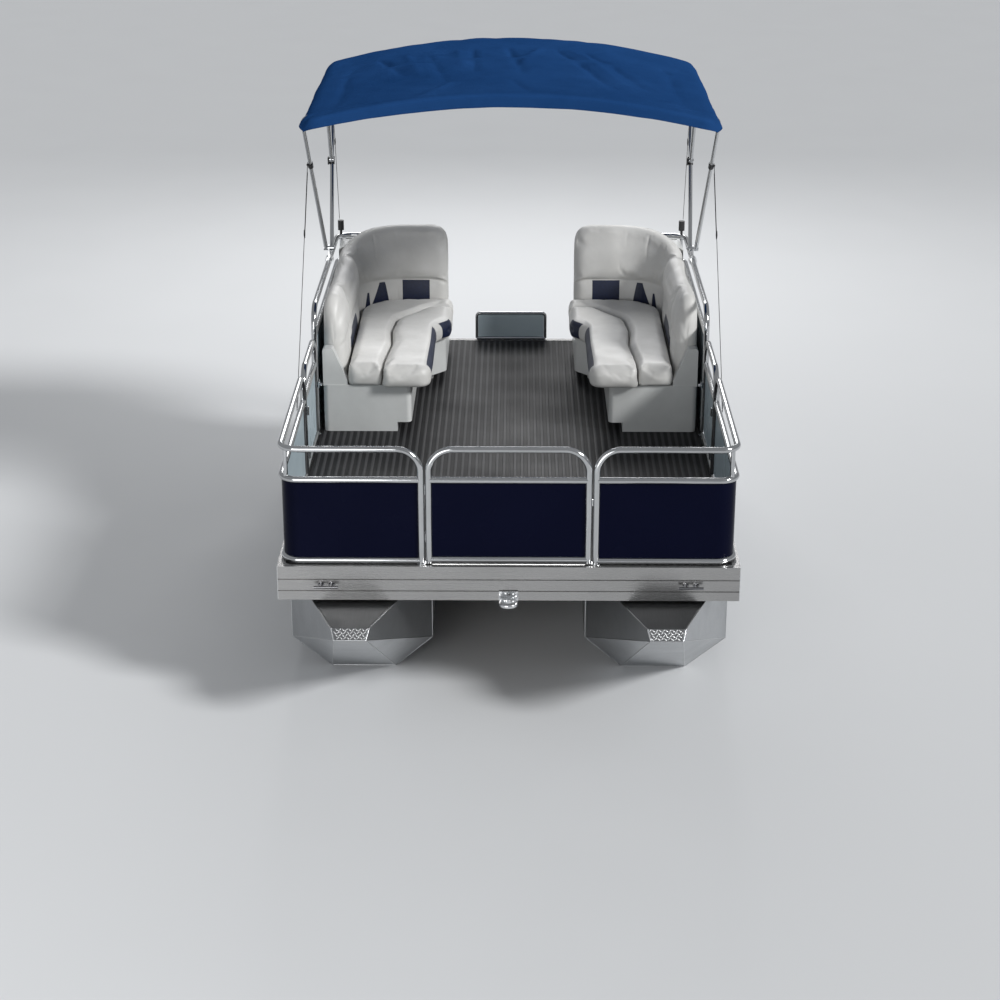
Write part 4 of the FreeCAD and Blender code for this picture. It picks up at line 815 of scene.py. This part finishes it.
def canopyRows(front, rear):  # each row's place, how far it has rolled over and its share of valance
    roll = canopy["roll"]
    hem = [(1 - k / canopy["hemRows"]) for k in range(canopy["hemRows"])]
    turn = [math.pi / 2 * (1 - k / canopy["rollRows"]) for k in range(canopy["rollRows"])]
    flat = rear - front - 2 * roll
    steps = int(flat / canopy["step"])
    rows = [(front, roll, share) for share in hem]
    rows += [(front + roll * (1 - math.sin(a)), roll * (1 - math.cos(a)), 0.0) for a in turn]
    rows += [(front + roll + flat * k / steps, 0.0, 0.0) for k in range(steps + 1)]
    rows += [(rear - roll * (1 - math.sin(a)), roll * (1 - math.cos(a)), 0.0) for a in reversed(turn)]
    return rows + [(rear, roll, share) for share in reversed(hem)]


def tubeAlong(name, line, radius, material, sides=8):  # a plain round tube through points
    vertices = []
    normal = (line[1] - line[0]).normalized().orthogonal()
    for index, point in enumerate(line):
        along = (line[min(index + 1, len(line) - 1)] - line[max(index - 1, 0)]).normalized()
        normal = (normal - along * normal.dot(along)).normalized()
        across = along.cross(normal)
        for k in range(sides):
            angle = 2 * math.pi * k / sides
            vertices.append(point + (normal * math.cos(angle) + across * math.sin(angle)) * radius)
    size = (len(line), sides)
    return addPiece(name, vertices, ringFaces(*size) + ringEnds(*size), material)


sleeve = {
    "radius": 0.0155, "bend": 0.095, "depth": 0.19, "clear": 0.045, "count": 90, "sides": 14,
    # bow, body and the lean of the bow's plane
    "bows": (("front", "front_bow", 139.2), ("middle", "middle_bow", 121.3), ("rear", "hull", 69.4)),
}


def addSleeves(crowns):  # the cloth pockets that the bows run through, under the canopy
    s, top = sleeve, crowns[3]
    centre = top - canopy["bow"]
    made = []
    for (label, body, lean), crownY in zip(s["bows"], crowns):
        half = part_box("canopy_bow_" + label)[1].x - canopy["bow"]
        profile = archSamples(half, centre, canopy["drop"], s["bend"], top - s["depth"], s["count"])[0]
        line = [Vector((x, crownY - (centre - z) / math.tan(math.radians(lean)), z))
                for x, z in profile if abs(x) < half - s["clear"]]
        made.append(tubeAlong(label + "BowSleeve", line, s["radius"], finishes["canopy"], s["sides"]))
        enter(made[-1], body)
    return made


def clothPoints(crowns, crown, half, rows, profile):  # the cloth before it settles, and how firmly it is held
    c = canopy
    front, rear, low = rows[0][0], rows[-1][0], crown - c["sideHem"]
    vertices, pins = [], []
    for place, rolled, hung in rows:
        sag = 0.0
        for start, end in zip(crowns, crowns[1:3]):
            if start <= place <= end:
                sag = math.sin(math.pi * (place - start) / (end - start)) * (end - start)
        onBow = min(abs(place - bow) for bow in crowns[:3])
        for x, z in profile:
            edge = min(1.0, (z - low) / c["edgeBand"])
            bottom = crown - c["frontHem"] - (c["sideHem"] - c["frontHem"]) * (x / half) ** 2
            height = z - min(rolled, 0.5 * max(0.0, z - bottom))
            height -= hung * max(0.0, height - bottom)
            height -= c["sag"] * sag * edge
            height += c["scallop"] * sag * (1 - edge)
            if not rolled:
                height += foldHeight(x, place) * min(1.0, onBow / c["foldBand"]) * edge
            for (hold, reach), distance in ((c["hemHold"], 0.0 if rolled else z - low), (c["bowHold"], onBow),
                                            (c["nearHold"], z - low)):
                if distance < reach:
                    pins.append((len(vertices), hold))
                    break
            vertices.append((*roundCorner(x * (1 - c["narrowing"] * sag), place, half, front, rear), height))
    return vertices, pins


def crumple(cloth, crowns, low):  # uneven height between the bows, with crests towards the stern
    c = canopy
    middleBow, rearBow = crowns[1:3]
    for vertex in cloth.data.vertices:
        place = vertex.co.copy()
        ripple = sum(swell(place, *layer) for layer in c["ripples"])
        fromBow = min(abs(place.y - bow) for bow in crowns[:3])
        aft = (place.y - middleBow) / (rearBow - middleBow)
        crest = abs(swell(place, *c["crest"])) * min(1.0, max(0.0, aft - c["crestFrom"]) / c["crestOver"])
        vertex.co.z += (ripple * min(1.0, fromBow / c["rippleBand"])
                        + crest * min(1.0, max(0.0, place.z - low) / c["edgeBand"]))


def addHems(cloth, across):  # a round hem along each edge of the cloth
    count = len(cloth.data.vertices)
    rims = (range(across), range(count - across, count), range(0, count, across),
            range(across - 1, count, across))
    hems = []
    for index, rim in enumerate(rims):
        line = [cloth.data.vertices[k].co.copy() for k in rim]
        hems.append(tubeAlong("canopyHem%d" % (index + 1), line, canopy["edge"], finishes["canopy"]))
    return hems


def addCanopy():
    c = canopy
    crowns = bowCrowns()
    frontBow, _, rearBow, bowTop = crowns
    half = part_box("canopy_bow_front")[1].x - c["bow"] + c["overBow"] + c["gap"]
    crown = bowTop + c["gap"]
    low = crown - c["sideHem"]
    profile, run = archSamples(half, crown, c["drop"], c["bend"], low, c["across"])
    front, rear = frontBow - c["roll"], rearBow + c["roll"]
    vertices, pins = clothPoints(crowns, crown, half, canopyRows(front, rear), profile)
    across = len(profile)
    faces = [(start, start + 1, start + across + 1, start + across)
             for row in range(0, len(vertices) - across, across) for start in range(row, row + across - 1)]
    cloth = addPiece("canopyCloth", vertices, faces, finishes["canopy"])
    crumple(cloth, crowns, low)
    settleCloth(cloth, pins, c["cap"], pressure=0.0, frames=26, gravity=0.6, shrink=c["slack"],
                stiffness=12.0)
    hems = addHems(cloth, across)
    wall = cloth.modifiers.new("wall", "SOLIDIFY")
    wall.thickness = c["wall"]
    wall.offset = 1.0
    bakeModifiers(cloth)
    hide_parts("canopy")
    for piece in [cloth] + hems:
        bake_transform(piece)
    sleeves = addSleeves(crowns)


strap = {
    "width": 0.025, "wall": 0.0016, "step": 0.02, "sides": 12, "lapNarrower": 0.002, "lapOff": 0.0022,
    "lap": (0.05, 0.42), "frontBuckle": 0.44, "rearBuckle": 0.30, "rearIn": 0.0012,
    "frontInset": (0.0125, 0.014), "rearInset": (0.006, 0.012, 0.010), "buckle": (0.034, 0.030, 0.006),
    "bar": 0.006, "side": 0.005, "bevel": 0.0012, "hookBevel": 0.002,
    # distance from the lower end and size of the hook's two parts
    "hook": ((0.045, (0.055, 0.016, 0.007)), (0.080, (0.012, 0.032, 0.008))),
}


def ribbon(name, start, end, across, width, body, replaced=None):  # flat strap with rounded edges
    along = (end - start).normalized()
    out = along.cross(across)
    count = max(12, int((end - start).length / strap["step"]))
    section = []
    for k in range(strap["sides"]):
        angle = 2 * math.pi * k / strap["sides"]
        section.append((math.copysign(abs(math.cos(angle)) ** 0.35, math.cos(angle)) * width / 2,
                        math.sin(angle) * strap["wall"] / 2))
    vertices = [start.lerp(end, index / count) + across * u + out * v
                for index in range(count + 1) for u, v in section]
    size = (count + 1, strap["sides"])
    band = addPiece(name, vertices, ringFaces(*size) + ringEnds(*size), finishes["webbing"])
    enter(band, body, replaced)


def looseBlock(work, centre, along, across, sizes, bevel):  # a bevelled block added to a bmesh
    out = along.cross(across).normalized()
    turn = Matrix((along.normalized(), across.normalized(), out)).transposed().to_4x4()
    matrix = Matrix.Translation(centre) @ turn @ Matrix.Diagonal((*sizes, 1))
    made = bmesh.ops.create_cube(work, size=1.0, matrix=matrix)
    edges = {e for v in made["verts"] for e in v.link_edges}
    bmesh.ops.bevel(work, geom=list(edges), offset=bevel, segments=2, affect="EDGES")


def finishBmesh(work, name, finish, body):
    bmesh.ops.recalc_face_normals(work, faces=work.faces)
    mesh = bpy.data.meshes.new(name)
    work.to_mesh(mesh)
    work.free()
    mesh.materials.append(finishes[finish])
    enter(addObject(name, mesh), body)


def strapBuckle(name, centre, along, across, body):  # ladder buckle: a frame with a bar across its middle
    work = bmesh.new()
    long, wide, thick = strap["buckle"]
    for shift in (-0.42, 0.0, 0.42):
        middle = centre + along * long * shift
        looseBlock(work, middle, along, across, (strap["bar"], wide, thick), strap["bevel"])
    for shift in (-0.5, 0.5):
        middle = centre + across * wide * shift
        looseBlock(work, middle, along, across, (long, strap["side"], thick), strap["bevel"])
    finishBmesh(work, name, "plastic", body)


def strapWays(top, bottom):  # the way a strap runs and the way its width lies
    along = (bottom - top).normalized()
    return along, Vector((0, -along.z, along.y)).normalized()


def addStraps():
    s = strap
    for side, sign in sides.items():
        low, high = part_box("canopy_strap_front_" + side)
        x, body = (low.x + high.x) / 2, side + "_strap"
        insetY, insetZ = s["frontInset"]
        top = Vector((x, high.y - insetY, high.z - insetZ))
        bottom = Vector((x, low.y + insetY, low.z + insetZ))
        along, across = strapWays(top, bottom)
        ribbon("frontStrap" + side.title(), top, bottom, across, s["width"], body,
               "canopy_strap_front_" + side)
        start, end = [top + along * reach - Vector((sign * s["lapOff"], 0, 0)) for reach in s["lap"]]
        ribbon("frontStrapEnd" + side.title(), start, end, across, s["width"] - s["lapNarrower"], body)
        strapBuckle("frontStrapBuckle" + side.title(), top + along * s["frontBuckle"], along, across, body)
        work = bmesh.new()
        for reach, size in s["hook"]:
            looseBlock(work, bottom - along * reach, along, across, size, s["hookBevel"])
        finishBmesh(work, "frontStrapHook" + side.title(), "chrome", body)
    low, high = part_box("canopy_straps_rear")
    for side, sign in sides.items():
        x = sign * (high.x - s["rearIn"])
        insetY, fromTop, fromBottom = s["rearInset"]
        top = Vector((x, low.y + insetY, high.z - fromTop))
        bottom = Vector((x, high.y - insetY, low.z + fromBottom))
        along, across = strapWays(top, bottom)
        ribbon("rearStrap" + side.title(), top, bottom, across, s["width"], "hull", "canopy_straps_rear")
        strapBuckle("rearStrapBuckle" + side.title(), top + along * s["rearBuckle"], along, across, "hull")


addCanopy()
print("canopy ready")
addStraps()
print("straps ready")


# Deck covering

flooring = {"pitch": 0.0386, "first": 0.0305, "rib": 0.0190, "height": 0.0017, "joint": 0.007,
            "endMargin": 0.004, "sideMargin": 0.016, "sides": 20}


def geometryNode(tree, kind, links=None, values=None, **settings):
    return addNode(tree, "GeometryNode" + kind, links, values, **settings)


def nodeTree(name, **sockets):  # an empty geometry tree with named inputs
    tree = bpy.data.node_groups.new(name, "GeometryNodeTree")
    for label, kind in {"Geometry": "Geometry", **sockets}.items():
        tree.interface.new_socket(label, in_out="INPUT", socket_type="NodeSocket" + kind)
    tree.interface.new_socket("Geometry", in_out="OUTPUT", socket_type="NodeSocketGeometry")
    return tree, tree.nodes.new("NodeGroupInput").outputs


def closeTree(tree, source, material):  # realise the copies and give them their finish
    real = geometryNode(tree, "RealizeInstances", {"Geometry": source})
    paint = geometryNode(tree, "SetMaterial", {"Geometry": real.outputs[0]}, {"Material": material})
    addNode(tree, "NodeGroupOutput", {0: paint.outputs[0]})
    return tree


def joined(tree, *parts):
    whole = geometryNode(tree, "JoinGeometry")
    for part in parts:
        tree.links.new(part, whole.inputs[0])
    return whole.outputs[0]


def grow(piece, label, tree, **values):  # adds a tree as a modifier and sets its inputs
    modifier = piece.modifiers.new(label, "NODES")
    modifier.node_group = tree
    for item in tree.interface.items_tree:
        if item.in_out == "INPUT" and item.name in values:
            modifier[item.identifier] = values[item.name]


def ribTree(material):  # low round ribs that lie along the boat, one pitch apart
    tree, given = nodeTree("floorRibs", Count="Int", Start="Vector", Offset="Vector", Radius="Float",
                           Length="Float", Flatness="Vector")
    line = geometryNode(tree, "MeshLine", {
        "Count": given["Count"], "Start Location": given["Start"], "Offset": given["Offset"]})
    rod = geometryNode(tree, "MeshCylinder", {"Radius": given["Radius"], "Depth": given["Length"]},
                       {"Vertices": flooring["sides"]}, fill_type="NONE")
    soft = geometryNode(tree, "SetShadeSmooth", {"Geometry": rod.outputs["Mesh"]})
    copies = geometryNode(tree, "InstanceOnPoints", {
        "Points": line.outputs[0], "Instance": soft.outputs[0], "Scale": given["Flatness"]},
        {"Rotation": (math.pi / 2, 0, 0)})
    return closeTree(tree, joined(tree, given["Geometry"], copies.outputs[0]), material)


def addFlooring():
    f = flooring
    low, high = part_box("deck_flooring")
    top = high.z - f["height"]
    base = [(x, y, z) for z in (low.z, top)
            for x, y in ((low.x, low.y), (high.x, low.y), (high.x, high.y), (low.x, high.y))]
    quads = [(3, 2, 1, 0), (4, 5, 6, 7), (0, 1, 5, 4), (1, 2, 6, 5), (2, 3, 7, 6), (3, 0, 4, 7)]
    piece = addPiece("ribbedFlooring", base, quads, finishes["floor"], smooth=False)
    tree = ribTree(finishes["floor"])
    middle, length = (low.y + high.y) / 2, high.y - low.y - 2 * f["endMargin"]
    count = int((high.x - f["sideMargin"] - f["first"]) / f["pitch"]) + 1
    for label, copies, start, offset, width in (("port", count, f["first"], f["pitch"], f["rib"]),
                                                ("starboard", count, -f["first"], -f["pitch"], f["rib"]),
                                                ("joint", 1, 0.0, 0.0, f["joint"])):
        grow(piece, label, tree, Count=copies, Start=(start, middle, top), Offset=(offset, 0, 0),
             Radius=width / 2, Length=length, Flatness=(1, f["height"] / (width / 2), 1))
    bakeModifiers(piece)
    enter(piece, "hull", "deck_flooring")


addFlooring()
print("flooring ready")


# Fasteners, welds and tread

fastener = {  # sides of the head, its radius, height and dome, and the washer's radius
    "screw": (24, 0.0042, 0.0010, 0.0022, 0.0060), "rivet": (20, 0.0030, 0.0006, 0.0014, 0.0036),
    "bolt": (6, 0.0075, 0.0052, 0.0006, 0.0110), "nut": (6, 0.0085, 0.0050, 0.0040, 0.0110),
    "plug": (6, 0.0120, 0.0090, 0.0008, 0.0190), "cap": (24, 0.0050, 0.0012, 0.0030, 0.0062),
}
fitting = {
    "standOff": 0.1, "level": 0.9, "fasciaStep": 0.42, "fasciaRows": (-0.022, -0.152), "fasciaReach": 0.93,
    "fasciaEnd": 0.12, "capRows": (-0.030, -0.090, -0.150), "capInset": 0.014, "footTop": 0.0055,
    "footSpan": 0.07, "footRing": 0.0205, "footShot": 0.02, "footLevel": 0.008, "rivetStep": 0.115,
    "rivetEdge": 0.014, "rivetFirst": 0.03, "rivetShot": 0.06, "eyeBolts": 0.037, "eyeDown": 0.012,
    "cleatScrews": 0.0118, "cleatLegs": 0.026, "cleatAt": 0.900, "pivotNut": (1.0822, 3.030, 0.830),
    "hullPlug": (0.766, -0.745), "beamFlange": 0.008, "beamBolts": (0.576, 0.956), "beamShot": 0.165,
    "hingeRises": (0.25, 0.55), "hingePlate": 0.317,
}
bead = {"hull": 0.0028, "pod": 0.0032, "angle": math.radians(14), "step": 0.02, "sides": 8, "merge": 0.0002}
tread = {
    "size": (0.0180, 0.0058, 0.0040), "pitch": 0.0170, "rows": 4, "each": 8, "first": 0.008, "rowShare": 0.82,
    "lozengeShare": 0.95, "crest": (0.766, -0.280, -0.2045), "fall": (0, -0.664, -0.747),
    "out": (0, -0.747, 0.664), "edge": 0.004, "turn": math.radians(45), "off": 0.03, "reach": 0.05,
    "level": 0.97,
}


def aligned(tree, given, shape, turn):  # copies of a shape that stand on points along their "facing"
    facing = geometryNode(tree, "InputNamedAttribute", values={"Name": "facing"}, data_type="FLOAT_VECTOR")
    spin = addNode(tree, "FunctionNodeAxisAngleToRotation", {"Angle": turn}, {"Axis": (0, 0, 1)})
    upright = addNode(tree, "FunctionNodeAlignRotationToVector", {"Vector": facing.outputs["Attribute"]},
                      axis="Z")
    both = addNode(tree, "FunctionNodeRotateRotation",
                   {"Rotation": upright.outputs[0], "Rotate By": spin.outputs[0]}, rotation_space="LOCAL")
    copies = geometryNode(tree, "InstanceOnPoints", {
        "Points": given["Geometry"], "Instance": shape, "Rotation": both.outputs[0]})
    return copies.outputs[0]


def fastenerTree(material):  # a head with a dome on a washer, turned at random
    tree, given = nodeTree("fastener", Sides="Int", Radius="Float", Height="Float", Dome="Float",
                           Washer="Float")
    head = geometryNode(tree, "MeshCylinder", {
        "Vertices": given["Sides"], "Radius": given["Radius"], "Depth": given["Height"]})
    lift = shaderNode(tree, "CombineXYZ", {"Z": compute(tree, "MULTIPLY", given["Height"], 0.5)})
    headUp = geometryNode(tree, "Transform", {
        "Geometry": head.outputs["Mesh"], "Translation": lift.outputs[0]})
    ball = geometryNode(tree, "MeshUVSphere", {"Radius": given["Radius"]}, {"Segments": 14, "Rings": 6})
    share = compute(tree, "DIVIDE", given["Dome"], given["Radius"])
    squash = shaderNode(tree, "CombineXYZ", {"Z": share}, {"X": 0.92, "Y": 0.92})
    domeAt = shaderNode(tree, "CombineXYZ", {"Z": given["Height"]})
    dome = geometryNode(tree, "Transform", {
        "Geometry": ball.outputs["Mesh"], "Translation": domeAt.outputs[0], "Scale": squash.outputs[0]})
    smoothDome = geometryNode(tree, "SetShadeSmooth", {"Geometry": dome.outputs[0]})
    washer = geometryNode(tree, "MeshCylinder", {"Radius": given["Washer"]},
                          {"Vertices": 24, "Depth": 0.0018})
    whole = joined(tree, headUp.outputs[0], smoothDome.outputs[0], washer.outputs["Mesh"])
    turn = addNode(tree, "FunctionNodeRandomValue", values={"Seed": 7, 2: 0.0, 3: 6.28}, data_type="FLOAT")
    return closeTree(tree, aligned(tree, given, whole, turn.outputs[1]), material)


def treadTree(material):  # raised lozenges that lean left and right by turns
    tree, given = nodeTree("tread", Size="Vector")
    ball = geometryNode(tree, "MeshUVSphere", values={"Segments": 12, "Rings": 6, "Radius": 0.5})
    lozenge = geometryNode(tree, "Transform", {"Geometry": ball.outputs["Mesh"], "Scale": given["Size"]})
    lean = geometryNode(tree, "InputNamedAttribute", values={"Name": "lean"}, data_type="FLOAT")
    return closeTree(tree, aligned(tree, given, lozenge.outputs[0], lean.outputs["Attribute"]), material)


def weldTree(material):  # a bead along every sharp edge of a sheet-metal shape
    tree, given = nodeTree("weld", Angle="Float", Radius="Float", Step="Float")
    merged = geometryNode(tree, "MergeByDistance", {"Geometry": given["Geometry"]},
                          {"Distance": bead["merge"]})
    angle = geometryNode(tree, "InputMeshEdgeAngle")
    sharp = addNode(tree, "FunctionNodeCompare", {"A": angle.outputs["Unsigned Angle"], "B": given["Angle"]},
                    data_type="FLOAT", operation="GREATER_THAN")
    line = geometryNode(tree, "MeshToCurve", {"Mesh": merged.outputs[0], "Selection": sharp.outputs[0]})
    even = geometryNode(tree, "ResampleCurve", {"Curve": line.outputs[0], "Length": given["Step"]},
                        mode="LENGTH")
    ring = geometryNode(tree, "CurvePrimitiveCircle", {"Radius": given["Radius"]},
                        {"Resolution": bead["sides"]})
    tube = geometryNode(tree, "CurveToMesh", {
        "Curve": even.outputs[0], "Profile Curve": ring.outputs["Curve"]}, {"Fill Caps": True})
    smoothTube = geometryNode(tree, "SetShadeSmooth", {"Geometry": tube.outputs[0]})
    return closeTree(tree, smoothTube.outputs[0], material)


madeTrees = {"fastener": fastenerTree(finishes["steel"]), "tread": treadTree(finishes["tread"]),
             "weld": weldTree(finishes["weld"])}


def surfaceOf(*names):
    work = bmesh.new()
    for name in names:
        work.from_mesh(nodes[name].data)
    surface = BVHTree.FromBMesh(work)
    work.free()
    return surface


def landings(surface, starts, direction, reach=0.4, level=0.0):  # where straight shots meet a surface
    direction = Vector(direction)
    found = []
    for start in starts:
        place, normal, _, _ = surface.ray_cast(start, direction, reach)
        if place is not None and -normal.dot(direction) > level:
            found.append((place, normal, 0.0))
    return found


def spotMesh(name, spots):  # points that carry the way they face and their turn
    mesh = bpy.data.meshes.new(name)
    mesh.from_pydata([place for place, facing, lean in spots], [], [])
    mesh.attributes.new("facing", "FLOAT_VECTOR", "POINT")
    mesh.attributes.new("lean", "FLOAT", "POINT")
    for index, (place, facing, lean) in enumerate(spots):
        mesh.attributes["facing"].data[index].vector = facing
        mesh.attributes["lean"].data[index].value = lean
    return addObject(name, mesh)


def growTrim(piece, kind, body="hull", **values):  # metal trim that a tree makes from an object
    grow(piece, kind, madeTrees[kind], **values)
    bakeModifiers(piece)
    enter(piece, body)


def addFasteners(name, kind, spots, body="hull"):
    sizes = dict(zip(("Sides", "Radius", "Height", "Dome", "Washer"), fastener[kind]))
    growTrim(spotMesh(name, spots), "fastener", body, **sizes)


def addFasciaScrews():
    f = fitting
    low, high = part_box("fascia_port")
    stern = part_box("fascia_stern")[1].y + f["standOff"]
    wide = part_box("fascia_bow")[1].x * f["fasciaReach"]
    across = [wide * (2 * k / 6 - 1) for k in range(1, 6)]
    count = int((high.y - low.y) / f["fasciaStep"])
    run = high.y - low.y - 2 * f["fasciaEnd"]
    along = [low.y + f["fasciaEnd"] + run * k / count for k in range(count + 1)]
    surfaces = {label: surfaceOf("fascia_" + label) for label in ("stern", "port", "starboard")}
    spots = []
    for row in f["fasciaRows"]:
        z = deckTop + row
        spots += landings(surfaces["stern"], [Vector((x, stern, z)) for x in across], (0, -1, 0))
        for side, sign in sides.items():
            starts = [Vector((sign * (high.x + f["standOff"]), y, z)) for y in along]
            spots += landings(surfaces[side], starts, (-sign, 0, 0))
    caps = surfaceOf("fascia_corner_caps")
    low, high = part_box("fascia_corner_caps")
    for row in f["capRows"]:
        for sign in (-1, 1):
            for y, inward in ((low.y, 1), (high.y, -1)):
                start = Vector((sign * (high.x - f["capInset"]), y - inward * f["standOff"], deckTop + row))
                spots += landings(caps, [start], (0, inward, 0))
    addFasteners("fasciaScrews", "screw", spots)


def footPlaces(name):  # the middle of each round foot under a fence
    feet = []
    for vertex in nodes[name].data.vertices:
        if vertex.co.z > deckTop + fitting["footTop"]:
            continue
        near = [foot for foot in feet if (foot[0] / foot[1] - vertex.co.xy).length < fitting["footSpan"]]
        if near:
            near[0][0] += vertex.co.xy
            near[0][1] += 1
        else:
            feet.append([vertex.co.xy.copy(), 1])
    return [total / count for total, count in feet]


def addFootScrews():
    f = fitting
    spots = []
    for name in ("fence_bow_rails", "fence_stern_rails"):
        surface = surfaceOf(name)
        for foot in footPlaces(name):
            ring = [math.pi / 6 + k * math.pi / 3 for k in range(6)]
            starts = [Vector((*(foot + f["footRing"] * Vector((math.cos(angle), math.sin(angle)))),
                              deckTop + f["footShot"])) for angle in ring]
            hits = landings(surface, starts, (0, 0, -1), reach=0.03, level=f["level"])
            spots += [hit for hit in hits if hit[0].z < deckTop + f["footLevel"]][::2]
    addFasteners("footScrews", "rivet", spots)


def addPanelRivets():
    f = fitting
    for label, name, body in (("bow_fence", "fence_bow_panels", "hull"),
                              ("stern_fence", "fence_stern_panels", "hull"),
                              ("bow_gate", "gate_bow_panel", "bow_gate"),
                              ("port_gate", "gate_port_panel", "port_gate"),
                              ("starboard_gate", "gate_starboard_panel", "starboard_gate")):
        low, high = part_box(name)
        surface = surfaceOf(name)
        outer = max(-low.x, high.x) - f["rivetShot"]
        spots = []
        for z in (low.z + f["rivetEdge"], high.z - f["rivetEdge"]):
            shots = []
            for k in range(int((high.y - low.y) / f["rivetStep"]) + 1):
                y = low.y + f["rivetFirst"] + k * f["rivetStep"]
                shots += [(Vector((sign * outer, y, z)), (sign, 0, 0)) for sign in (-1, 1)]
            for k in range(int((high.x - low.x) / f["rivetStep"]) + 1):
                x = low.x + f["rivetFirst"] + k * f["rivetStep"]
                for sign, y in ((-1, low.y + f["rivetShot"]), (1, high.y - f["rivetShot"])):
                    if y > low.y:  # from ahead of a panel the shot would land on its outside
                        shots.append((Vector((x, y, z)), (0, sign, 0)))
            for start, direction in shots:
                spots += landings(surface, [start], direction, reach=0.08, level=f["level"])
        addFasteners(label + "Rivets", "rivet", spots, body)


def addSmallBolts():
    f = fitting
    low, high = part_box("tow_eye")
    y, z = low.y - f["standOff"], high.z - f["eyeDown"]
    starts = [Vector((sign * f["eyeBolts"], y, z)) for sign in (-1, 1)]
    addFasteners("towEyeBolts", "screw", landings(surfaceOf("tow_eye"), starts, (0, 1, 0)))
    cleats = surfaceOf("mooring_cleats")
    low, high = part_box("mooring_cleats")
    spots = []
    for sign in (-1, 1):
        for leg in (-f["cleatLegs"], f["cleatLegs"]):
            for lift in (-f["cleatScrews"], f["cleatScrews"]):
                for y, inward in ((low.y - f["standOff"], 1), (high.y + f["standOff"], -1)):
                    start = Vector((sign * f["cleatAt"] + leg, y, (low.z + high.z) / 2 + lift))
                    spots += landings(cleats, [start], (0, inward, 0))
    addFasteners("cleatScrews", "rivet", spots)
    x, y, rise = f["pivotNut"]
    spots = [(deckPoint(sign * x, y, rise), Vector((-sign, 0, 0)), 0.0) for sign in (-1, 1)]
    addFasteners("pivotNuts", "nut", spots)
    x, rise = f["hullPlug"]
    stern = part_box("pontoon_port")[1].y + f["standOff"]
    starts = [Vector((sign * x, stern, deckTop + rise)) for sign in (-1, 1)]
    hulls = surfaceOf("pontoon_port", "pontoon_starboard")
    addFasteners("drainPlugs", "plug", landings(hulls, starts, (0, -1, 0)))


def addBeamBolts():  # two rows through the flanges of each beam
    f = fitting
    beams = []
    for place in sorted({round(v.co.y, 2) for v in nodes["deck_cross_beams"].data.vertices}):
        if not beams or place - beams[-1][-1] > 0.1:
            beams.append([place])
        else:
            beams[-1].append(place)
    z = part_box("deck_cross_beams")[1].z - f["beamShot"]
    starts = [Vector((sign * x, y, z)) for beam in beams
              for y in (beam[0] + f["beamFlange"], beam[-1] - f["beamFlange"])
              for x in f["beamBolts"] for sign in (-1, 1)]
    spots = landings(surfaceOf("hull_risers"), starts, (0, 0, 1), reach=0.1, level=f["level"])
    addFasteners("beamBolts", "bolt", spots)


def addHingeCaps():
    f = fitting
    for joint in frame["joints"]:
        if not joint["name"].endswith("gate_swing"):
            continue
        gate = joint["name"].replace("_swing", "")
        side = gate.replace("_gate", "")
        name = "gate_%s_fittings" % side
        surface = surfaceOf(name)
        low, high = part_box(name)
        x, y, _ = joint["pos_m"]
        tops = [Vector((x, y, deckTop + rise)) for rise in f["hingeRises"]]
        spots = landings(surface, tops, (0, 0, -1), reach=0.2, level=f["level"])
        z = deckTop + f["hingePlate"]
        if side == "bow":
            start, direction = Vector((high.x - f["capInset"], high.y + f["standOff"], z)), (0, -1, 0)
        else:
            sign = sides[side]
            inner = low.x if sign > 0 else high.x
            start, direction = Vector((inner - sign * f["standOff"], high.y - f["capInset"], z)), (sign, 0, 0)
        spots += landings(surface, [start], direction, reach=0.3, level=f["level"])
        addFasteners(side + "HingeCaps", "cap", spots, gate)


def addTread():
    t = tread
    surface = surfaceOf("nose_plates")
    fall, out = Vector(t["fall"]), Vector(t["out"])
    x, y, rise = t["crest"]
    spots = []
    for sign in (-1, 1):
        crest = deckPoint(sign * x, y, rise)
        for row in range(t["rows"]):
            for k in range(-t["each"], t["each"] + 1):
                across = (k + 0.5 * (row % 2)) * t["pitch"] * t["lozengeShare"]
                down = t["first"] + row * t["pitch"] * t["rowShare"]
                start = crest + fall * down + out * t["off"] + Vector((across, 0, 0))
                hits = landings(surface, [start], -out, t["reach"], t["level"])
                beside = start + Vector((sign * t["edge"], 0, 0))  # no lozenge hangs over the plate's edge
                if hits and surface.ray_cast(beside, -out, t["reach"])[0] is not None:
                    spots.append((*hits[0][:2], t["turn"] if (k + row) % 2 else -t["turn"]))
    growTrim(spotMesh("noseTread", spots), "tread", Size=t["size"])


def addWelds():
    for name, radius in (("pontoon_port", bead["hull"]), ("pontoon_starboard", bead["hull"]),
                         ("motor_pod", bead["pod"])):
        piece = addObject(name.replace("_", "") + "Welds", nodes[name].data.copy())
        growTrim(piece, "weld", Angle=bead["angle"], Radius=radius, Step=bead["step"])


addFasciaScrews()
addFootScrews()
addPanelRivets()
addSmallBolts()
addBeamBolts()
addHingeCaps()
print("fasteners ready")
addTread()
addWelds()
print("tread and welds ready")
